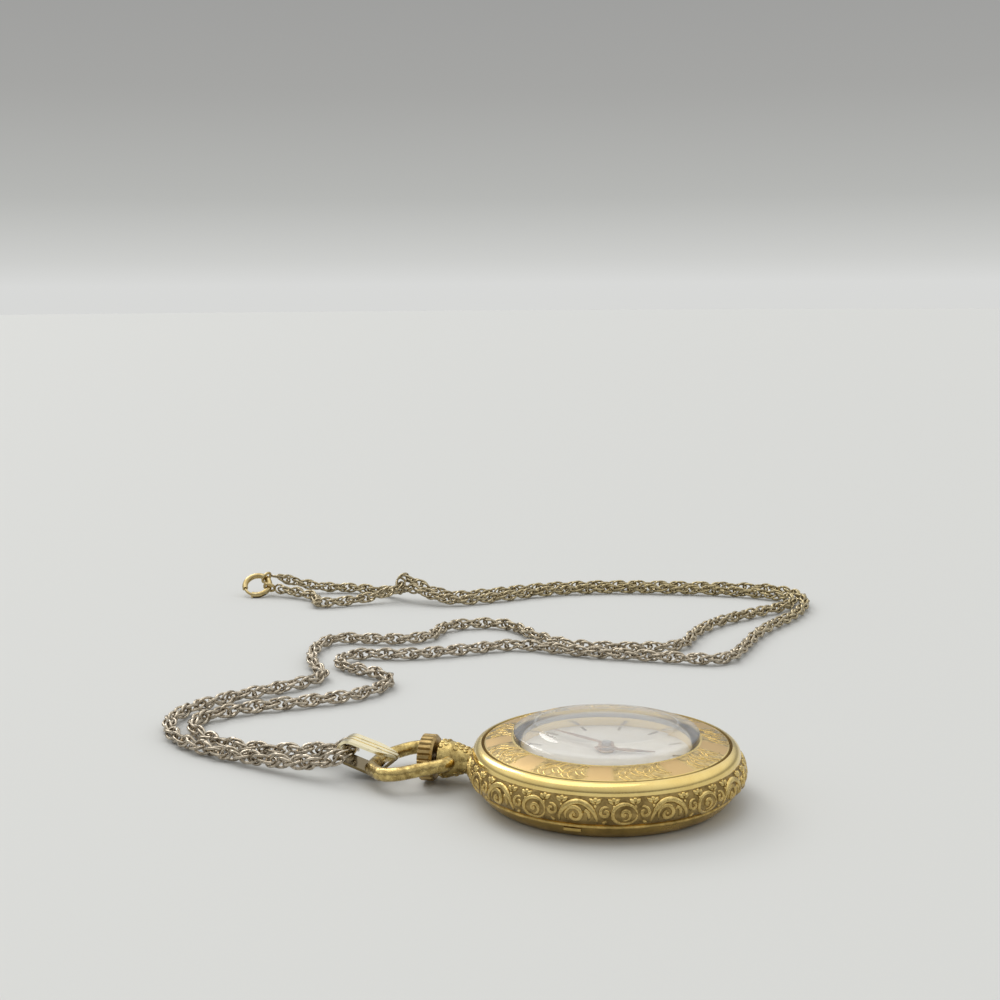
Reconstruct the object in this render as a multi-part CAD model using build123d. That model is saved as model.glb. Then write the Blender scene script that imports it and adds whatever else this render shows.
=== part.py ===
"""Pendant watch on a long neck chain: case, neck, bow, bail, chain, clasp and hand-wound movement.

Millimetres. The origin is the middle of the flat outer face of the case back, +Z runs up through
the dial and the crystal, and +Y runs out along the winding stem, past twelve o'clock.
"""
import os
from math import asin, atan2, cos, degrees, hypot, pi, radians, sin, sqrt, tan

from build123d import *

OVERRUN = 1.0
BITE = 0.1
RUNNING_GAP = 0.05
SEAT_GAP = 0.02

# The case is as wide as the movement, its spacer ring and the band's wall make it. An inset says
# how far inside the case's widest radius one of its rings lies.
MOVEMENT_RADIUS = 9.6
RING_WALL = 2.3
RING_BORE_GAP = 0.7
BAND_WALL = 2.4
RING_RADIUS = MOVEMENT_RADIUS + RING_WALL
BAND_BORE_RADIUS = RING_RADIUS + RING_BORE_GAP
CASE_RADIUS = BAND_BORE_RADIUS + BAND_WALL

# Case back: a pressed cup that snaps into the band
BACK_FLAT_INSET = 4.8
BACK_FLAT_RADIUS = CASE_RADIUS - BACK_FLAT_INSET
BACK_RIM_INSET = 1.1
BACK_RIM_RADIUS = CASE_RADIUS - BACK_RIM_INSET
BACK_RIM_HEIGHT = 1.35
BACK_BULGE_INSET = 1.9
BACK_BULGE_RADIUS = CASE_RADIUS - BACK_BULGE_INSET
BACK_BULGE_HEIGHT = 0.4
BACK_WALL = 0.5
BACK_INNER_FLAT_INSET = 5.2
BACK_INNER_FLAT_RADIUS = CASE_RADIUS - BACK_INNER_FLAT_INSET
BACK_INNER_RIM_HEIGHT = 1.15
SNAP_LIP_WALL = 0.55
SNAP_LIP_HEIGHT = 0.85
OPENING_LIP_WIDTH = 1.8
OPENING_LIP_REACH = 0.2
OPENING_LIP_HEIGHT = 0.3
OPENING_LIP_ANGLE = 177.0

# Case band: the ornamented side wall
BAND_RIDGE_INSET = 0.94
BAND_RIDGE_RADIUS = CASE_RADIUS - BAND_RIDGE_INSET
BAND_RIDGE_REACH = 0.2
BAND_RIDGE_FOOT_RADIUS = BAND_RIDGE_RADIUS - BAND_RIDGE_REACH
BAND_RIDGE_HEIGHT = 0.46
BAND_WIDEST_Z = 3.0
BAND_UPPER_INSET = 0.08
BAND_UPPER_RADIUS = CASE_RADIUS - BAND_UPPER_INSET
BAND_UPPER_Z = 4.0
BAND_TOP_INSET = 0.52
BAND_TOP_RADIUS = CASE_RADIUS - BAND_TOP_INSET
BAND_TOP_Z = 4.94

# Bezel: polished outer slope, thin groove and the engraved ring round the crystal
BEZEL_BULGE_INSET = 0.18
BEZEL_BULGE_RADIUS = BAND_TOP_RADIUS - BEZEL_BULGE_INSET
BEZEL_BULGE_Z = 5.68
BEZEL_SLOPE_INSET = 0.92
BEZEL_SLOPE_RADIUS = BAND_TOP_RADIUS - BEZEL_SLOPE_INSET
BEZEL_SLOPE_Z = 6.11
BEZEL_GROOVE_WIDTH = 0.34
BEZEL_GROOVE_DEPTH = 0.3
BEZEL_RING_WIDTH = 3.5
BEZEL_RING_RISE = 0.08
BEZEL_INNER_Z = 6.72
BEZEL_SEAT_Z = 6.0
BEZEL_SEAT_WIDTH = 0.9
BEZEL_LIP_HEIGHT = 0.64
BEZEL_LIP_WALL = 0.55

# Crystal: thick acrylic with a rounded shoulder and a low dome
CRYSTAL_RADIUS = BEZEL_SLOPE_RADIUS - BEZEL_RING_WIDTH
BEZEL_OPENING_RADIUS = CRYSTAL_RADIUS - BEZEL_SEAT_WIDTH
CRYSTAL_WALL_TOP_Z = 7.25
CRYSTAL_BEND_INSET = 0.5
CRYSTAL_BEND_RADIUS = CRYSTAL_RADIUS - CRYSTAL_BEND_INSET
CRYSTAL_BEND_Z = 7.5
CRYSTAL_SHOULDER_INSET = 1.9
CRYSTAL_SHOULDER_RADIUS = CRYSTAL_RADIUS - CRYSTAL_SHOULDER_INSET
CRYSTAL_SHOULDER_Z = 7.78
CRYSTAL_APEX_Z = 8.05
CRYSTAL_INNER_SHOULDER_INSET = 2.7
CRYSTAL_INNER_SHOULDER_RADIUS = CRYSTAL_RADIUS - CRYSTAL_INNER_SHOULDER_INSET
CRYSTAL_THICKNESS = 0.9
CRYSTAL_FOOT_WALL = 0.8

# Dial and hands
DIAL_OVERLAP = 1.1
DIAL_RADIUS = BEZEL_OPENING_RADIUS + DIAL_OVERLAP
DIAL_LOW_Z = 4.8
DIAL_THICKNESS = 0.3
DIAL_HOLE_RADIUS = 0.9
DIAL_FOOT_RADIUS = 0.3
DIAL_FOOT_INSET = 2.06
DIAL_FOOT_PLACE_RADIUS = DIAL_RADIUS - DIAL_FOOT_INSET
DIAL_FOOT_ANGLES = (35.0, 215.0)
MARKER_COUNT = 12
MARKER_LENGTH = 1.5
MARKER_WIDTH = 0.32
MARKER_HEIGHT = 0.07
MARKER_RING_INSET = 2.3
MARKER_RING_RADIUS = DIAL_RADIUS - MARKER_RING_INSET
HAND_THICKNESS = 0.12
HOUR_HAND_Z = 5.36
HOUR_HAND_LENGTH = 5.4
HOUR_HAND_WIDTH = 0.75
HOUR_HAND_TAIL = 1.3
HOUR_HAND_ANGLE = -92.5
MINUTE_HAND_Z = 5.68
MINUTE_HAND_INSET = 2.6
MINUTE_HAND_LENGTH = DIAL_RADIUS - MINUTE_HAND_INSET
MINUTE_HAND_WIDTH = 0.6
MINUTE_HAND_TAIL = 1.6
MINUTE_HAND_ANGLE = 60.0
HAND_HUB_WALL = 0.35
HAND_WIDEST_SHARE = 0.45
HAND_TIP_WIDTH_SHARE = 0.2
HAND_TAIL_WIDTH_SHARE = 0.5

# Stem, crown, neck and bow, all along +Y
STEM_Z = 2.8
STEM_RADIUS = 0.5
STEM_TIP_RADIUS = 0.3
STEM_TIP_START_Y = 4.05
STEM_SQUARE_START_Y = 4.95
STEM_SQUARE_SIDE = 0.6
STEM_SQUARE_END_Y = 7.15
STEM_GROOVE_Y = 8.65
STEM_GROOVE_WIDTH = 0.36
STEM_GROOVE_RADIUS = 0.3
NECK_ROOT_RADIUS = 1.45
NECK_WAIST_RADIUS = 1.4
NECK_WAIST_REACH = 0.6
NECK_WAIST_Y = CASE_RADIUS + NECK_WAIST_REACH
NECK_EAR_RADIUS = 1.95
NECK_EAR_REACH = 2.3
NECK_EAR_Y = CASE_RADIUS + NECK_EAR_REACH
NECK_END_RADIUS = 2.05
NECK_REACH = 3.9
NECK_END_Y = CASE_RADIUS + NECK_REACH
NECK_EDGE = 0.2
NECK_BORE_RADIUS = 0.7
NECK_TENON_RADIUS = 1.1
NECK_TENON_DEPTH = 2.25
NECK_TENON_START_Y = CASE_RADIUS - NECK_TENON_DEPTH
NECK_TENON_REACH = 0.4
NECK_TENON_END_Y = CASE_RADIUS + NECK_TENON_REACH
NECK_ROOT_DEPTH = 1.8
NECK_START_Y = CASE_RADIUS - NECK_ROOT_DEPTH
CROWN_RADIUS = 2.6
CROWN_NECK_GAP = 0.3
CROWN_START_Y = NECK_END_Y + CROWN_NECK_GAP
CROWN_RIM_LENGTH = 1.6
CROWN_LENGTH = 2.0
CROWN_EDGE = 0.3
CROWN_DOME_ANGLE = 45.0
CROWN_FLUTES = 26
CROWN_FLUTE_DEPTH = 0.16
CROWN_FLUTE_TOP_SHARE = 0.5
CROWN_FLUTE_FLOOR_SHARE = 0.75
CROWN_STEM_DEPTH = 1.4
CROWN_PULL = 0.7
BOW_PIVOT_RISE = 0.2
BOW_WIRE_RADIUS = 0.76
BOW_ROOT_X = 2.75
BOW_WIDEST_X = 5.8
BOW_WIDEST_REACH = 6.2
BOW_END_X = 2.2
BOW_LENGTH = 9.19
BOW_DROP = 1.3
BOW_ROOT_TURN_RADIUS = 0.7
BOW_WIDEST_TURN_RADIUS = 2.6
BOW_END_TURN_RADIUS = 2.0
BOW_PIN_RADIUS = 0.45
BOW_PIN_INNER_X = 0.95
BOW_SHOULDER_GAP = 0.2

# Bail: a folded ribbed strip round the bow's end bar and the chain
BAIL_SHEET = 0.3
BAIL_BAR_GAP = 0.08
BAIL_CHAIN_GAP = 0.12
BAIL_TIP_REACH = 2.25
BAIL_TIP_Z = 2.5
BAIL_TIP_SPACE = 0.05
BAIL_FOLD_WIDTH = 2.4
BAIL_MIDDLE_WIDTH = 3.0
BAIL_TIP_WIDTH = 0.7
BAIL_RIB_WIDTH = 0.22
BAIL_RIB_DEPTH = 0.1
BAIL_GROOVES = 2
BAIL_GROOVE_PLACE = 0.4

# Chain: strand width, its way through the bail's eye, and its route on the table
CHAIN_RADIUS = 1.0
CHAIN_EYE_REACH = 3.0
CHAIN_EYE_Y = NECK_EAR_Y + sqrt(BOW_LENGTH ** 2 - BOW_DROP ** 2) + CHAIN_EYE_REACH
CHAIN_EYE_Z = 3.0
CHAIN_EYE_TURN_RADIUS = 1.95
CHAIN_TURN_SHARE = 0.9
CHAIN_ROUTE_EYE_Y = 29.4
CHAIN_ROUTE_SHIFT = CHAIN_EYE_Y - CHAIN_ROUTE_EYE_Y
CHAIN_A_ROUTE = (
    (-2.8, 29.4, 3.0), (-2.6, 33.8, 1.7), (-1.2, 43.6, 1.0), (1.8, 52.6, 1.0), (7.0, 58.4, 1.0),
    (14.0, 60.2, 1.0), (21.4, 57.2, 1.0), (28.7, 51.4, 1.0), (36.4, 46.4, 1.0), (42.0, 51.2, 1.0),
    (50.4, 54.8, 1.0), (59.2, 54.6, 1.0), (59.2, 45.6, 1.0), (62.6, 39.4, 1.0), (71.0, 40.4, 1.0),
    (75.4, 31.0, 1.0), (67.4, 24.6, 1.0), (62.2, 17.8, 1.0), (62.4, 10.4, 1.0), (65.2, 0.6, 1.0),
    (75.0, 0.6, 1.0), (84.4, -2.4, 1.0), (91.4, -7.2, 1.0), (98.6, -11.4, 1.0), (105.6, -10.4, 1.0),
    (108.4, -1.0, 1.0), (107.4, 9.0, 1.0), (106.4, 18.0, 1.0), (102.0, 29.4, 1.0), (93.4, 37.8, 1.0),
    (88.0, 44.8, 1.0),
    (89.4, 52.4, 1.0), (95.6, 57.6, 1.0), (98.6, 65.2, 1.0), (95.8, 73.2, 1.2), (91.92, 79.4, 3.5),
)
CHAIN_B_ROUTE = (
    (2.8, 29.4, 3.0), (2.6, 33.8, 1.7), (1.8, 43.4, 1.0), (5.4, 51.8, 1.0), (12.0, 56.2, 1.0),
    (18.8, 52.2, 1.0), (23.8, 45.0, 1.0), (29.6, 38.0, 1.0), (38.8, 36.8, 1.0), (43.0, 48.8, 1.0),
    (50.2, 47.8, 1.0), (51.0, 39.8, 1.0), (56.4, 31.8, 1.0), (61.8, 25.4, 1.0), (58.8, 16.0, 1.0),
    (58.8, 5.0, 1.0), (58.2, -6.4, 1.0), (66.2, -8.0, 1.0), (79.4, -9.4, 1.0), (93.0, -14.6, 1.0),
    (104.6, -15.2, 1.0), (111.8, -10.4, 1.0), (112.0, -2.0, 1.0), (110.8, 8.0, 1.0), (109.2, 19.0, 1.0),
    (104.8, 31.0, 1.0), (96.8, 39.6, 1.0), (91.6, 46.0, 1.0), (91.6, 51.4, 3.1), (90.0, 57.2, 3.1),
    (88.2, 62.6, 1.0), (83.4, 66.4, 1.0), (86.8, 72.0, 1.0), (89.82, 77.8, 1.475),
)

# Clasp at the chain's ends
CLASP_RING_RADIUS = 2.2
CLASP_WIRE_RADIUS = 0.5
CLASP_BORE_RADIUS = 0.3
CLASP_TILT = 40.0
CLASP_FACING = 15.0
CLASP_CENTRE_X = 89.5
CLASP_ROUTE_Y = 81.0
CLASP_CENTRE_Y = CLASP_ROUTE_Y + CHAIN_ROUTE_SHIFT
CLASP_GATE_RADIUS = 0.24
CLASP_GAP_ANGLE = 50.0
CLASP_GAP_START = 200.0
CLASP_SLOT_WIDTH = 0.3
CLASP_NIB_RADIUS = 0.12
CLASP_NIB_HEIGHT = 0.45
CLASP_NIB_BACK_ANGLE = 8.0
CLASP_SLOT_STEPS = 6
CLASP_GATE_TRAVEL = 45.0
LINK_RING_RADIUS = 0.95
LINK_WIRE_RADIUS = 0.25
CLASP_JUMP_ANGLE = 50.0
END_JUMP_ANGLE = -12.0

# Movement: heights, from the case back towards the dial
PLATE_FLANGE_REACH = 0.3
PLATE_FLANGE_RADIUS = MOVEMENT_RADIUS + PLATE_FLANGE_REACH
PLATE_FLANGE_THICKNESS = 0.2
PLATE_LOW_Z = 3.4
PLATE_TOP_Z = 4.3
RECESS_FLOOR_Z = 3.95
RECESS_MARGIN = 0.15
BRIDGE_LOW_Z = 1.8
BRIDGE_TOP_Z = 1.4
BRIDGE_INSET = 0.3
BRIDGE_RADIUS = MOVEMENT_RADIUS - BRIDGE_INSET
COCK_TOP_Z = 0.95
COCK_LOW_Z = 1.3
JEWEL_RADIUS = 0.45
JEWEL_DEPTH = 0.25
PIVOT_RADIUS = 0.09
PIVOT_HOLE_RADIUS = 0.12
ARBOR_RADIUS = 0.17
ARBOR_END_GAP = 0.06

# Movement ring: the spacer between the small movement and the case band
RING_LOW_Z = 1.4
RING_FLANGE_RADIUS = BAND_BORE_RADIUS - 2 * SEAT_GAP
RING_FLANGE_LOW_Z = 2.35
RING_FLANGE_TOP_Z = 4.2
CLAMP_THICKNESS = 0.2
CLAMP_LENGTH = 2.8
CLAMP_WIDTH = 1.5
CLAMP_REACH = 0.8
CLAMP_START_RADIUS = MOVEMENT_RADIUS - CLAMP_REACH
CLAMP_SCREW_OFFSET = 1.2
CLAMP_SCREW_PLACE_RADIUS = MOVEMENT_RADIUS + CLAMP_SCREW_OFFSET
CLAMP_ANGLES = (62.0, 250.0, 320.0)
SCREW_SLOT_SHARE = 0.25
CLAMP_SCREW_HEAD_RADIUS = 0.55
CLAMP_SCREW_HEAD_HEIGHT = 0.2
CLAMP_SCREW_SHANK_RADIUS = 0.3
CLAMP_SCREW_LENGTH = 1.4

# Going train: places of the arbors, and the wheels that they carry
CENTRE_PLACE = (0.0, 0.0)
BARREL_PLACE = (4.55, 0.8)
THIRD_PLACE = (-1.23, -3.38)
FOURTH_PLACE = (-4.11, -3.13)
ESCAPE_PLACE = (-5.46, -0.8)
FORK_PLACE = (-5.07, 1.16)
BALANCE_PLACE = (-4.6, 3.5)
BARREL_MODULE = 0.11
BARREL_TEETH = 72
CENTRE_PINION_LEAVES = 12
CENTRE_MODULE = 0.1
CENTRE_TEETH = 64
THIRD_PINION_LEAVES = 8
THIRD_MODULE = 0.085
THIRD_TEETH = 60
FOURTH_PINION_LEAVES = 8
FOURTH_MODULE = 0.07
FOURTH_TEETH = 70
ESCAPE_PINION_LEAVES = 7
ESCAPE_TEETH = 15
ESCAPE_RADIUS = 1.6
ESCAPE_TOOTH_DEPTH = 0.35
ESCAPE_HEEL_SHARE = 0.33
ESCAPE_TIP_START_SHARE = 0.1
ESCAPE_TIP_END_SHARE = 0.25
ESCAPE_TOE_SHARE = 0.125
WHEEL_THICKNESS = 0.14
WHEEL_RIM = 0.45
WHEEL_SPOKE_WIDTH = 0.35
WHEEL_HUB_WALL = 0.35
WHEEL_SPOKES = 4
TOOTH_TIP_SHARE = 0.95
TOOTH_ROOT_SHARE = 1.2
TOOTH_TIP_WIDTH_SHARE = 0.22
TOOTH_ROOT_WIDTH_SHARE = 0.56
BARREL_COVER_Z = 1.92
BARREL_COVER_THICKNESS = 0.13
BARREL_WALL_RADIUS = 3.62
BARREL_WALL = 0.27
BARREL_RIM_Z = 2.78
BARREL_TOP_Z = 3.1
BARREL_FLOOR = 0.15
BARREL_HUB_RADIUS = 0.62
BARREL_ARBOR_RADIUS = 0.36
BARREL_ARBOR_BEARING_RADIUS = 0.4
BARREL_ARBOR_TOP_Z = 1.0
BARREL_ARBOR_END_Z = 3.85
MAINSPRING_STRIP = 0.1
MAINSPRING_TURNS = 9
MAINSPRING_STEPS = 16
MAINSPRING_EDGE_GAP = 0.06
CENTRE_PINION_Z = 1.9
CENTRE_PINION_END_Z = 3.12
CENTRE_WHEEL_Z = 3.2
CENTRE_ARBOR_RADIUS = 0.28
CENTRE_ARBOR_END_Z = 5.6
THIRD_WHEEL_Z = 2.1
THIRD_PINION_Z = 3.12
THIRD_PINION_LENGTH = 0.24
FOURTH_PINION_Z = 2.04
FOURTH_WHEEL_Z = 2.9
FOURTH_PINION_LENGTH = 0.27
ESCAPE_WHEEL_Z = 2.5
ESCAPE_PINION_Z = 2.84
ESCAPE_PINION_LENGTH = 0.27

# Escapement and balance
FORK_THICKNESS = 0.14
FORK_Z = 2.5
FORK_HUB_RADIUS = 0.3
FORK_ARM_WIDTH = 0.26
FORK_REACH = 1.62
FORK_SLOT_WIDTH = 0.3
FORK_HORN_WIDTH = 0.8
FORK_HORN_LENGTH = 0.4
FORK_STONE_RADIUS = 0.12
FORK_STONE_ANGLE = 30.0
FORK_STONE_GAP = 0.04
PALLET_BRIDGE_Z = 2.31
PALLET_BRIDGE_THICKNESS = 0.12
PALLET_BRIDGE_WIDTH = 0.6
PALLET_FOOT_RADIUS = 0.34
PALLET_FEET = ((-3.9, 1.0), (-6.9, 1.5))
BALANCE_RADIUS = 2.9
BALANCE_RIM = 0.35
BALANCE_Z = 1.9
BALANCE_THICKNESS = 0.3
BALANCE_ARM_WIDTH = 0.35
BALANCE_HUB_RADIUS = 0.45
BALANCE_SCREW_RADIUS = 0.11
BALANCE_SCREW_LENGTH = 0.1
BALANCE_SCREWS = 12
BALANCE_SCREW_SHIFT = 0.5
BALANCE_STAFF_RADIUS = 0.22
ROLLER_RADIUS = 0.6
ROLLER_THICKNESS = 0.1
IMPULSE_PIN_RADIUS = 0.08
IMPULSE_PIN_PLACE_RADIUS = 0.6
HAIRSPRING_INNER_RADIUS = 0.42
HAIRSPRING_OUTER_RADIUS = 1.75
HAIRSPRING_TURNS = 10
HAIRSPRING_STEPS = 16
HAIRSPRING_STRIP = 0.035
HAIRSPRING_HEIGHT = 0.14
HAIRSPRING_Z = 1.55
STUD_RADIUS = 0.16
STUD_ARM_WIDTH = 0.48
REGULATOR_ANGLE = 100.0
REGULATOR_RING_RADIUS = 0.95
REGULATOR_RING_WALL = 0.25
REGULATOR_THICKNESS = 0.1
REGULATOR_LENGTH = 2.3
REGULATOR_TIP_WIDTH = 0.22

# Bridges and cock, seen from the back; each foot stands on the main plate
BALANCE_CUT_GAP = 0.3
FOOT_RADIUS = 0.6
BARREL_BRIDGE_FEET = ((6.9, 5.1), (2.9, 6.9), (7.0, -4.9), (3.4, -5.2))
TRAIN_BRIDGE_FEET = ((-8.0, -3.3), (-2.3, -7.9), (-7.9, 0.4))
COCK_FOOT = (-3.4, 7.7)
COCK_FOOT_RADIUS = 0.8
COCK_END_RADIUS = 0.8
BRIDGE_SPLIT_X = 0.75
BRIDGE_SPLIT_GAP = 0.3
BRIDGE_SPLIT_LOW_Y = -4.4
BRIDGE_SPLIT_Y = 1.45
BRIDGE_SPLIT_CENTRE_X = 1.45
BRIDGE_CROWN_X = -1.35
BRIDGE_NOTCH_HALF = 1.8
SCREW_HEAD_RADIUS = 0.5
SCREW_HEAD_HEIGHT = 0.25
SCREW_SHANK_RADIUS = 0.28
SCREW_END_Z = 3.8

# Winding work on the back of the barrel bridge
WINDING_MODULE = 0.2142
WINDING_PINION_TEETH = 14
CROWN_WHEEL_TEETH = 20
RATCHET_TEETH = 40
CROWN_WHEEL_PLACE = (0.0, 5.34)
RATCHET_Z = 1.0
RATCHET_THICKNESS = 0.3
WINDING_PINION_Y = 7.2
WINDING_PINION_LENGTH = 1.1
WINDING_DEPTH = 0.12
WINDING_HUB_RADIUS = 0.95
CROWN_WHEEL_SCREW_HEAD_RADIUS = 1.17
CROWN_WHEEL_SCREW_HEAD_HEIGHT = 0.18
CLICK_PLACE = (7.35, -4.05)
CLICK_HUB_RADIUS = 0.42
CLICK_TIP_WIDTH = 0.16
CLICK_SCREW_RADIUS = 0.22
CLICK_TIP_GAP = 0.03
CLICK_LEAN = 8.4
CLICK_SPRING_WIRE = 0.14
CLICK_SPRING_PLACE = (8.3, -1.9)
CLICK_SPRING_POST_RADIUS = 0.2

# Keyless work: sliding clutch, yoke and setting lever
CLUTCH_START_Y = 5.4
CLUTCH_END_Y = 7.1
CLUTCH_RADIUS = 0.93
CLUTCH_GROOVE_Y = 6.3
CLUTCH_GROOVE_WIDTH = 0.44
CLUTCH_GROOVE_RADIUS = 0.58
CLUTCH_SLIDE = 0.45
CLUTCH_FACE_TEETH = 10
CLUTCH_FACE_DEPTH = 0.12
STEM_BLOCK_HALF = 1.5
STEM_BLOCK_START_Y = 8.42
STEM_BLOCK_LOW_Z = 1.95
STEM_BLOCK_GAP = 0.06
TIP_BLOCK_HALF = 0.8
TIP_BLOCK_START_Y = 4.2
TIP_BLOCK_END_Y = 4.9
TIP_BLOCK_LOW_Z = 2.2
WINDING_WINDOW_START_Y = 5.25
LEVER_THICKNESS = 0.25
LEVER_PLACE = (2.75, 8.25)
LEVER_HUB_RADIUS = 0.45
LEVER_ARM_WIDTH = 0.5
LEVER_PIN_RADIUS = 0.13
LEVER_PIN_LOW_Z = 3.14
YOKE_PLACE = (-2.9, 7.4)
YOKE_HUB_RADIUS = 0.45
YOKE_ARM_WIDTH = 0.4
YOKE_PIN_RADIUS = 0.16
YOKE_PIN_X = -0.2
YOKE_PIN_LOW_Z = 3.42

# Motion work under the dial
MOTION_MODULE = 0.12
CANNON_LEAVES = 12
MINUTE_WHEEL_TEETH = 36
HOUR_MODULE = 0.1152
MINUTE_PINION_LEAVES = 10
HOUR_WHEEL_TEETH = 40
SETTING_WHEEL_TEETH = 18
SETTING_PLACE = (0.0, 3.6)
CANNON_LEAF_LENGTH = 0.24
CANNON_RADIUS = 0.5
CANNON_TOP_Z = 5.95
CANNON_CAP = 0.12
MOTION_LOW_Z = 4.0
MOTION_THICKNESS = 0.18
HOUR_WHEEL_Z = 4.34
HOUR_PIPE_RADIUS = 0.8
MOTION_POST_RADIUS = 0.25
DIAL_WASHER_Z = 4.56
DIAL_WASHER_THICKNESS = 0.2
DIAL_WASHER_RADIUS = 2.0


def post(place, radius, low, high):
    """A round post at a place, from one height to another."""
    return Pos(place[0], place[1], low) * Cylinder(
        radius, high - low, align=(Align.CENTER, Align.CENTER, Align.MIN)
    )


def washer(place, inner, outer, low, high):
    """A flat ring at a place."""
    return post(place, outer, low, high) - post(place, inner, low - OVERRUN, high + OVERRUN)


def block(low, high):
    """A box between two opposite corners."""
    size = [high[axis] - low[axis] for axis in range(3)]
    return Pos(*low) * Box(*size, align=(Align.MIN, Align.MIN, Align.MIN))


def rod_along_y(radius, start, end, x=0, z=STEM_Z):
    """A round rod that lies along the winding stem's direction."""
    lying = Cylinder(radius, end - start, align=(Align.CENTER, Align.CENTER, Align.MIN))
    return Pos(x, start, z) * Rot(-90, 0, 0) * lying


def polar(radius, angle):
    """A place at a distance and a bearing from the middle."""
    return (radius * cos(radians(angle)), radius * sin(radians(angle)))


def bearing(start, end):
    """The bearing in degrees from one place to another."""
    return degrees(atan2(end[1] - start[1], end[0] - start[0]))


def distance(start, end):
    """How far apart two places are."""
    return hypot(end[0] - start[0], end[1] - start[1])


def plate_from(points, low, high):
    """A flat piece with straight edges, between two heights."""
    outline = Polyline(*[(x, y, low) for x, y in points], close=True)
    return extrude(make_face(outline), high - low, dir=(0, 0, 1))


def bar_between(start, end, width, low, high):
    """A flat bar with round ends from one place to another."""
    middle = ((start[0] + end[0]) / 2, (start[1] + end[1]) / 2)
    straight = Box(distance(start, end), width, high - low, align=(Align.CENTER, Align.CENTER, Align.MIN))
    placed = Pos(middle[0], middle[1], low) * Rot(0, 0, bearing(start, end)) * straight
    return placed + post(start, width / 2, low, high) + post(end, width / 2, low, high)


def tooth_points(teeth, module, phase):
    """The outline of a gear with straight-sided teeth, one of them centred at the phase angle."""
    pitch_radius = teeth * module / 2
    tip = pitch_radius + module * TOOTH_TIP_SHARE
    root = pitch_radius - module * TOOTH_ROOT_SHARE
    step = 360 / teeth
    points = []
    for tooth in range(teeth):
        middle = phase + tooth * step
        points.append(polar(root, middle - step * TOOTH_ROOT_WIDTH_SHARE / 2))
        points.append(polar(tip, middle - step * TOOTH_TIP_WIDTH_SHARE / 2))
        points.append(polar(tip, middle + step * TOOTH_TIP_WIDTH_SHARE / 2))
        points.append(polar(root, middle + step * TOOTH_ROOT_WIDTH_SHARE / 2))
    return points


def gear(place, teeth, module, phase, low, thickness):
    """A toothed disc at a place, with a tooth at the phase angle."""
    flat = plate_from(tooth_points(teeth, module, phase), low, low + thickness)
    return Pos(place[0], place[1], 0) * flat


def pitch_radius_of(teeth, module):
    """The pitch radius of a gear."""
    return teeth * module / 2


def spokes_cut(place, hub, rim, count, width, low, thickness, first=0):
    """The windows between the spokes of a wheel."""
    ring = washer(place, hub, rim, low - OVERRUN, low + thickness + OVERRUN)
    arms = None
    for number in range(count):
        arm = Pos(place[0], place[1], low - OVERRUN) * Rot(0, 0, first + 360 * number / count) * Box(
            rim + OVERRUN, width, thickness + 4 * OVERRUN, align=(Align.MIN, Align.CENTER, Align.MIN)
        )
        arms = arm if arms is None else arms + arm
    return ring - arms


def train_wheel(place, teeth, module, phase, low, hub_radius):
    """A crossed-out train wheel: rim with teeth, four spokes and a hub."""
    root = pitch_radius_of(teeth, module) - module * TOOTH_ROOT_SHARE
    disc = gear(place, teeth, module, phase, low, WHEEL_THICKNESS)
    windows = spokes_cut(
        place, hub_radius + WHEEL_HUB_WALL, root - WHEEL_RIM, WHEEL_SPOKES, WHEEL_SPOKE_WIDTH,
        low, WHEEL_THICKNESS, phase,
    )
    return disc - windows


def train_arbor(place):
    """An arbor between the train bridge and the main plate, with a thin pivot at each end."""
    body = post(place, ARBOR_RADIUS, BRIDGE_LOW_Z + ARBOR_END_GAP, PLATE_LOW_Z - ARBOR_END_GAP)
    pivots = post(
        place, PIVOT_RADIUS, BRIDGE_LOW_Z - JEWEL_DEPTH + ARBOR_END_GAP,
        PLATE_LOW_Z + JEWEL_DEPTH - ARBOR_END_GAP,
    )
    return body + pivots


def slotted_screw(place, head_radius, head_top, head_height, shank_radius, end, turn=0):
    """A screw with its head towards the case back and a slot across it."""
    head = post(place, head_radius, head_top, head_top + head_height)
    shank = post(place, shank_radius, head_top + head_height, end)
    slot_depth = head_height / 2
    slot = Pos(place[0], place[1], head_top - slot_depth) * Rot(0, 0, turn) * Box(
        2 * head_radius + OVERRUN, head_radius * SCREW_SLOT_SHARE, 2 * slot_depth,
        align=(Align.CENTER, Align.CENTER, Align.MIN),
    )
    return head + shank - slot


def back_edges():
    """The half section of the case back."""
    lip_outer = BAND_BORE_RADIUS - SEAT_GAP
    lip_inner = lip_outer - SNAP_LIP_WALL
    lip_top = BACK_RIM_HEIGHT + SNAP_LIP_HEIGHT
    edges = [
        Line((0, 0, 0), (BACK_FLAT_RADIUS, 0, 0)),
        Spline((BACK_FLAT_RADIUS, 0, 0), (BACK_BULGE_RADIUS, 0, BACK_BULGE_HEIGHT),
               (BACK_RIM_RADIUS, 0, BACK_RIM_HEIGHT)),
        Polyline((BACK_RIM_RADIUS, 0, BACK_RIM_HEIGHT), (lip_outer, 0, BACK_RIM_HEIGHT),
                 (lip_outer, 0, lip_top), (lip_inner, 0, lip_top), (lip_inner, 0, BACK_INNER_RIM_HEIGHT),
                 (BACK_INNER_FLAT_RADIUS, 0, BACK_WALL), (0, 0, BACK_WALL), (0, 0, 0)),
    ]
    return edges


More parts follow.
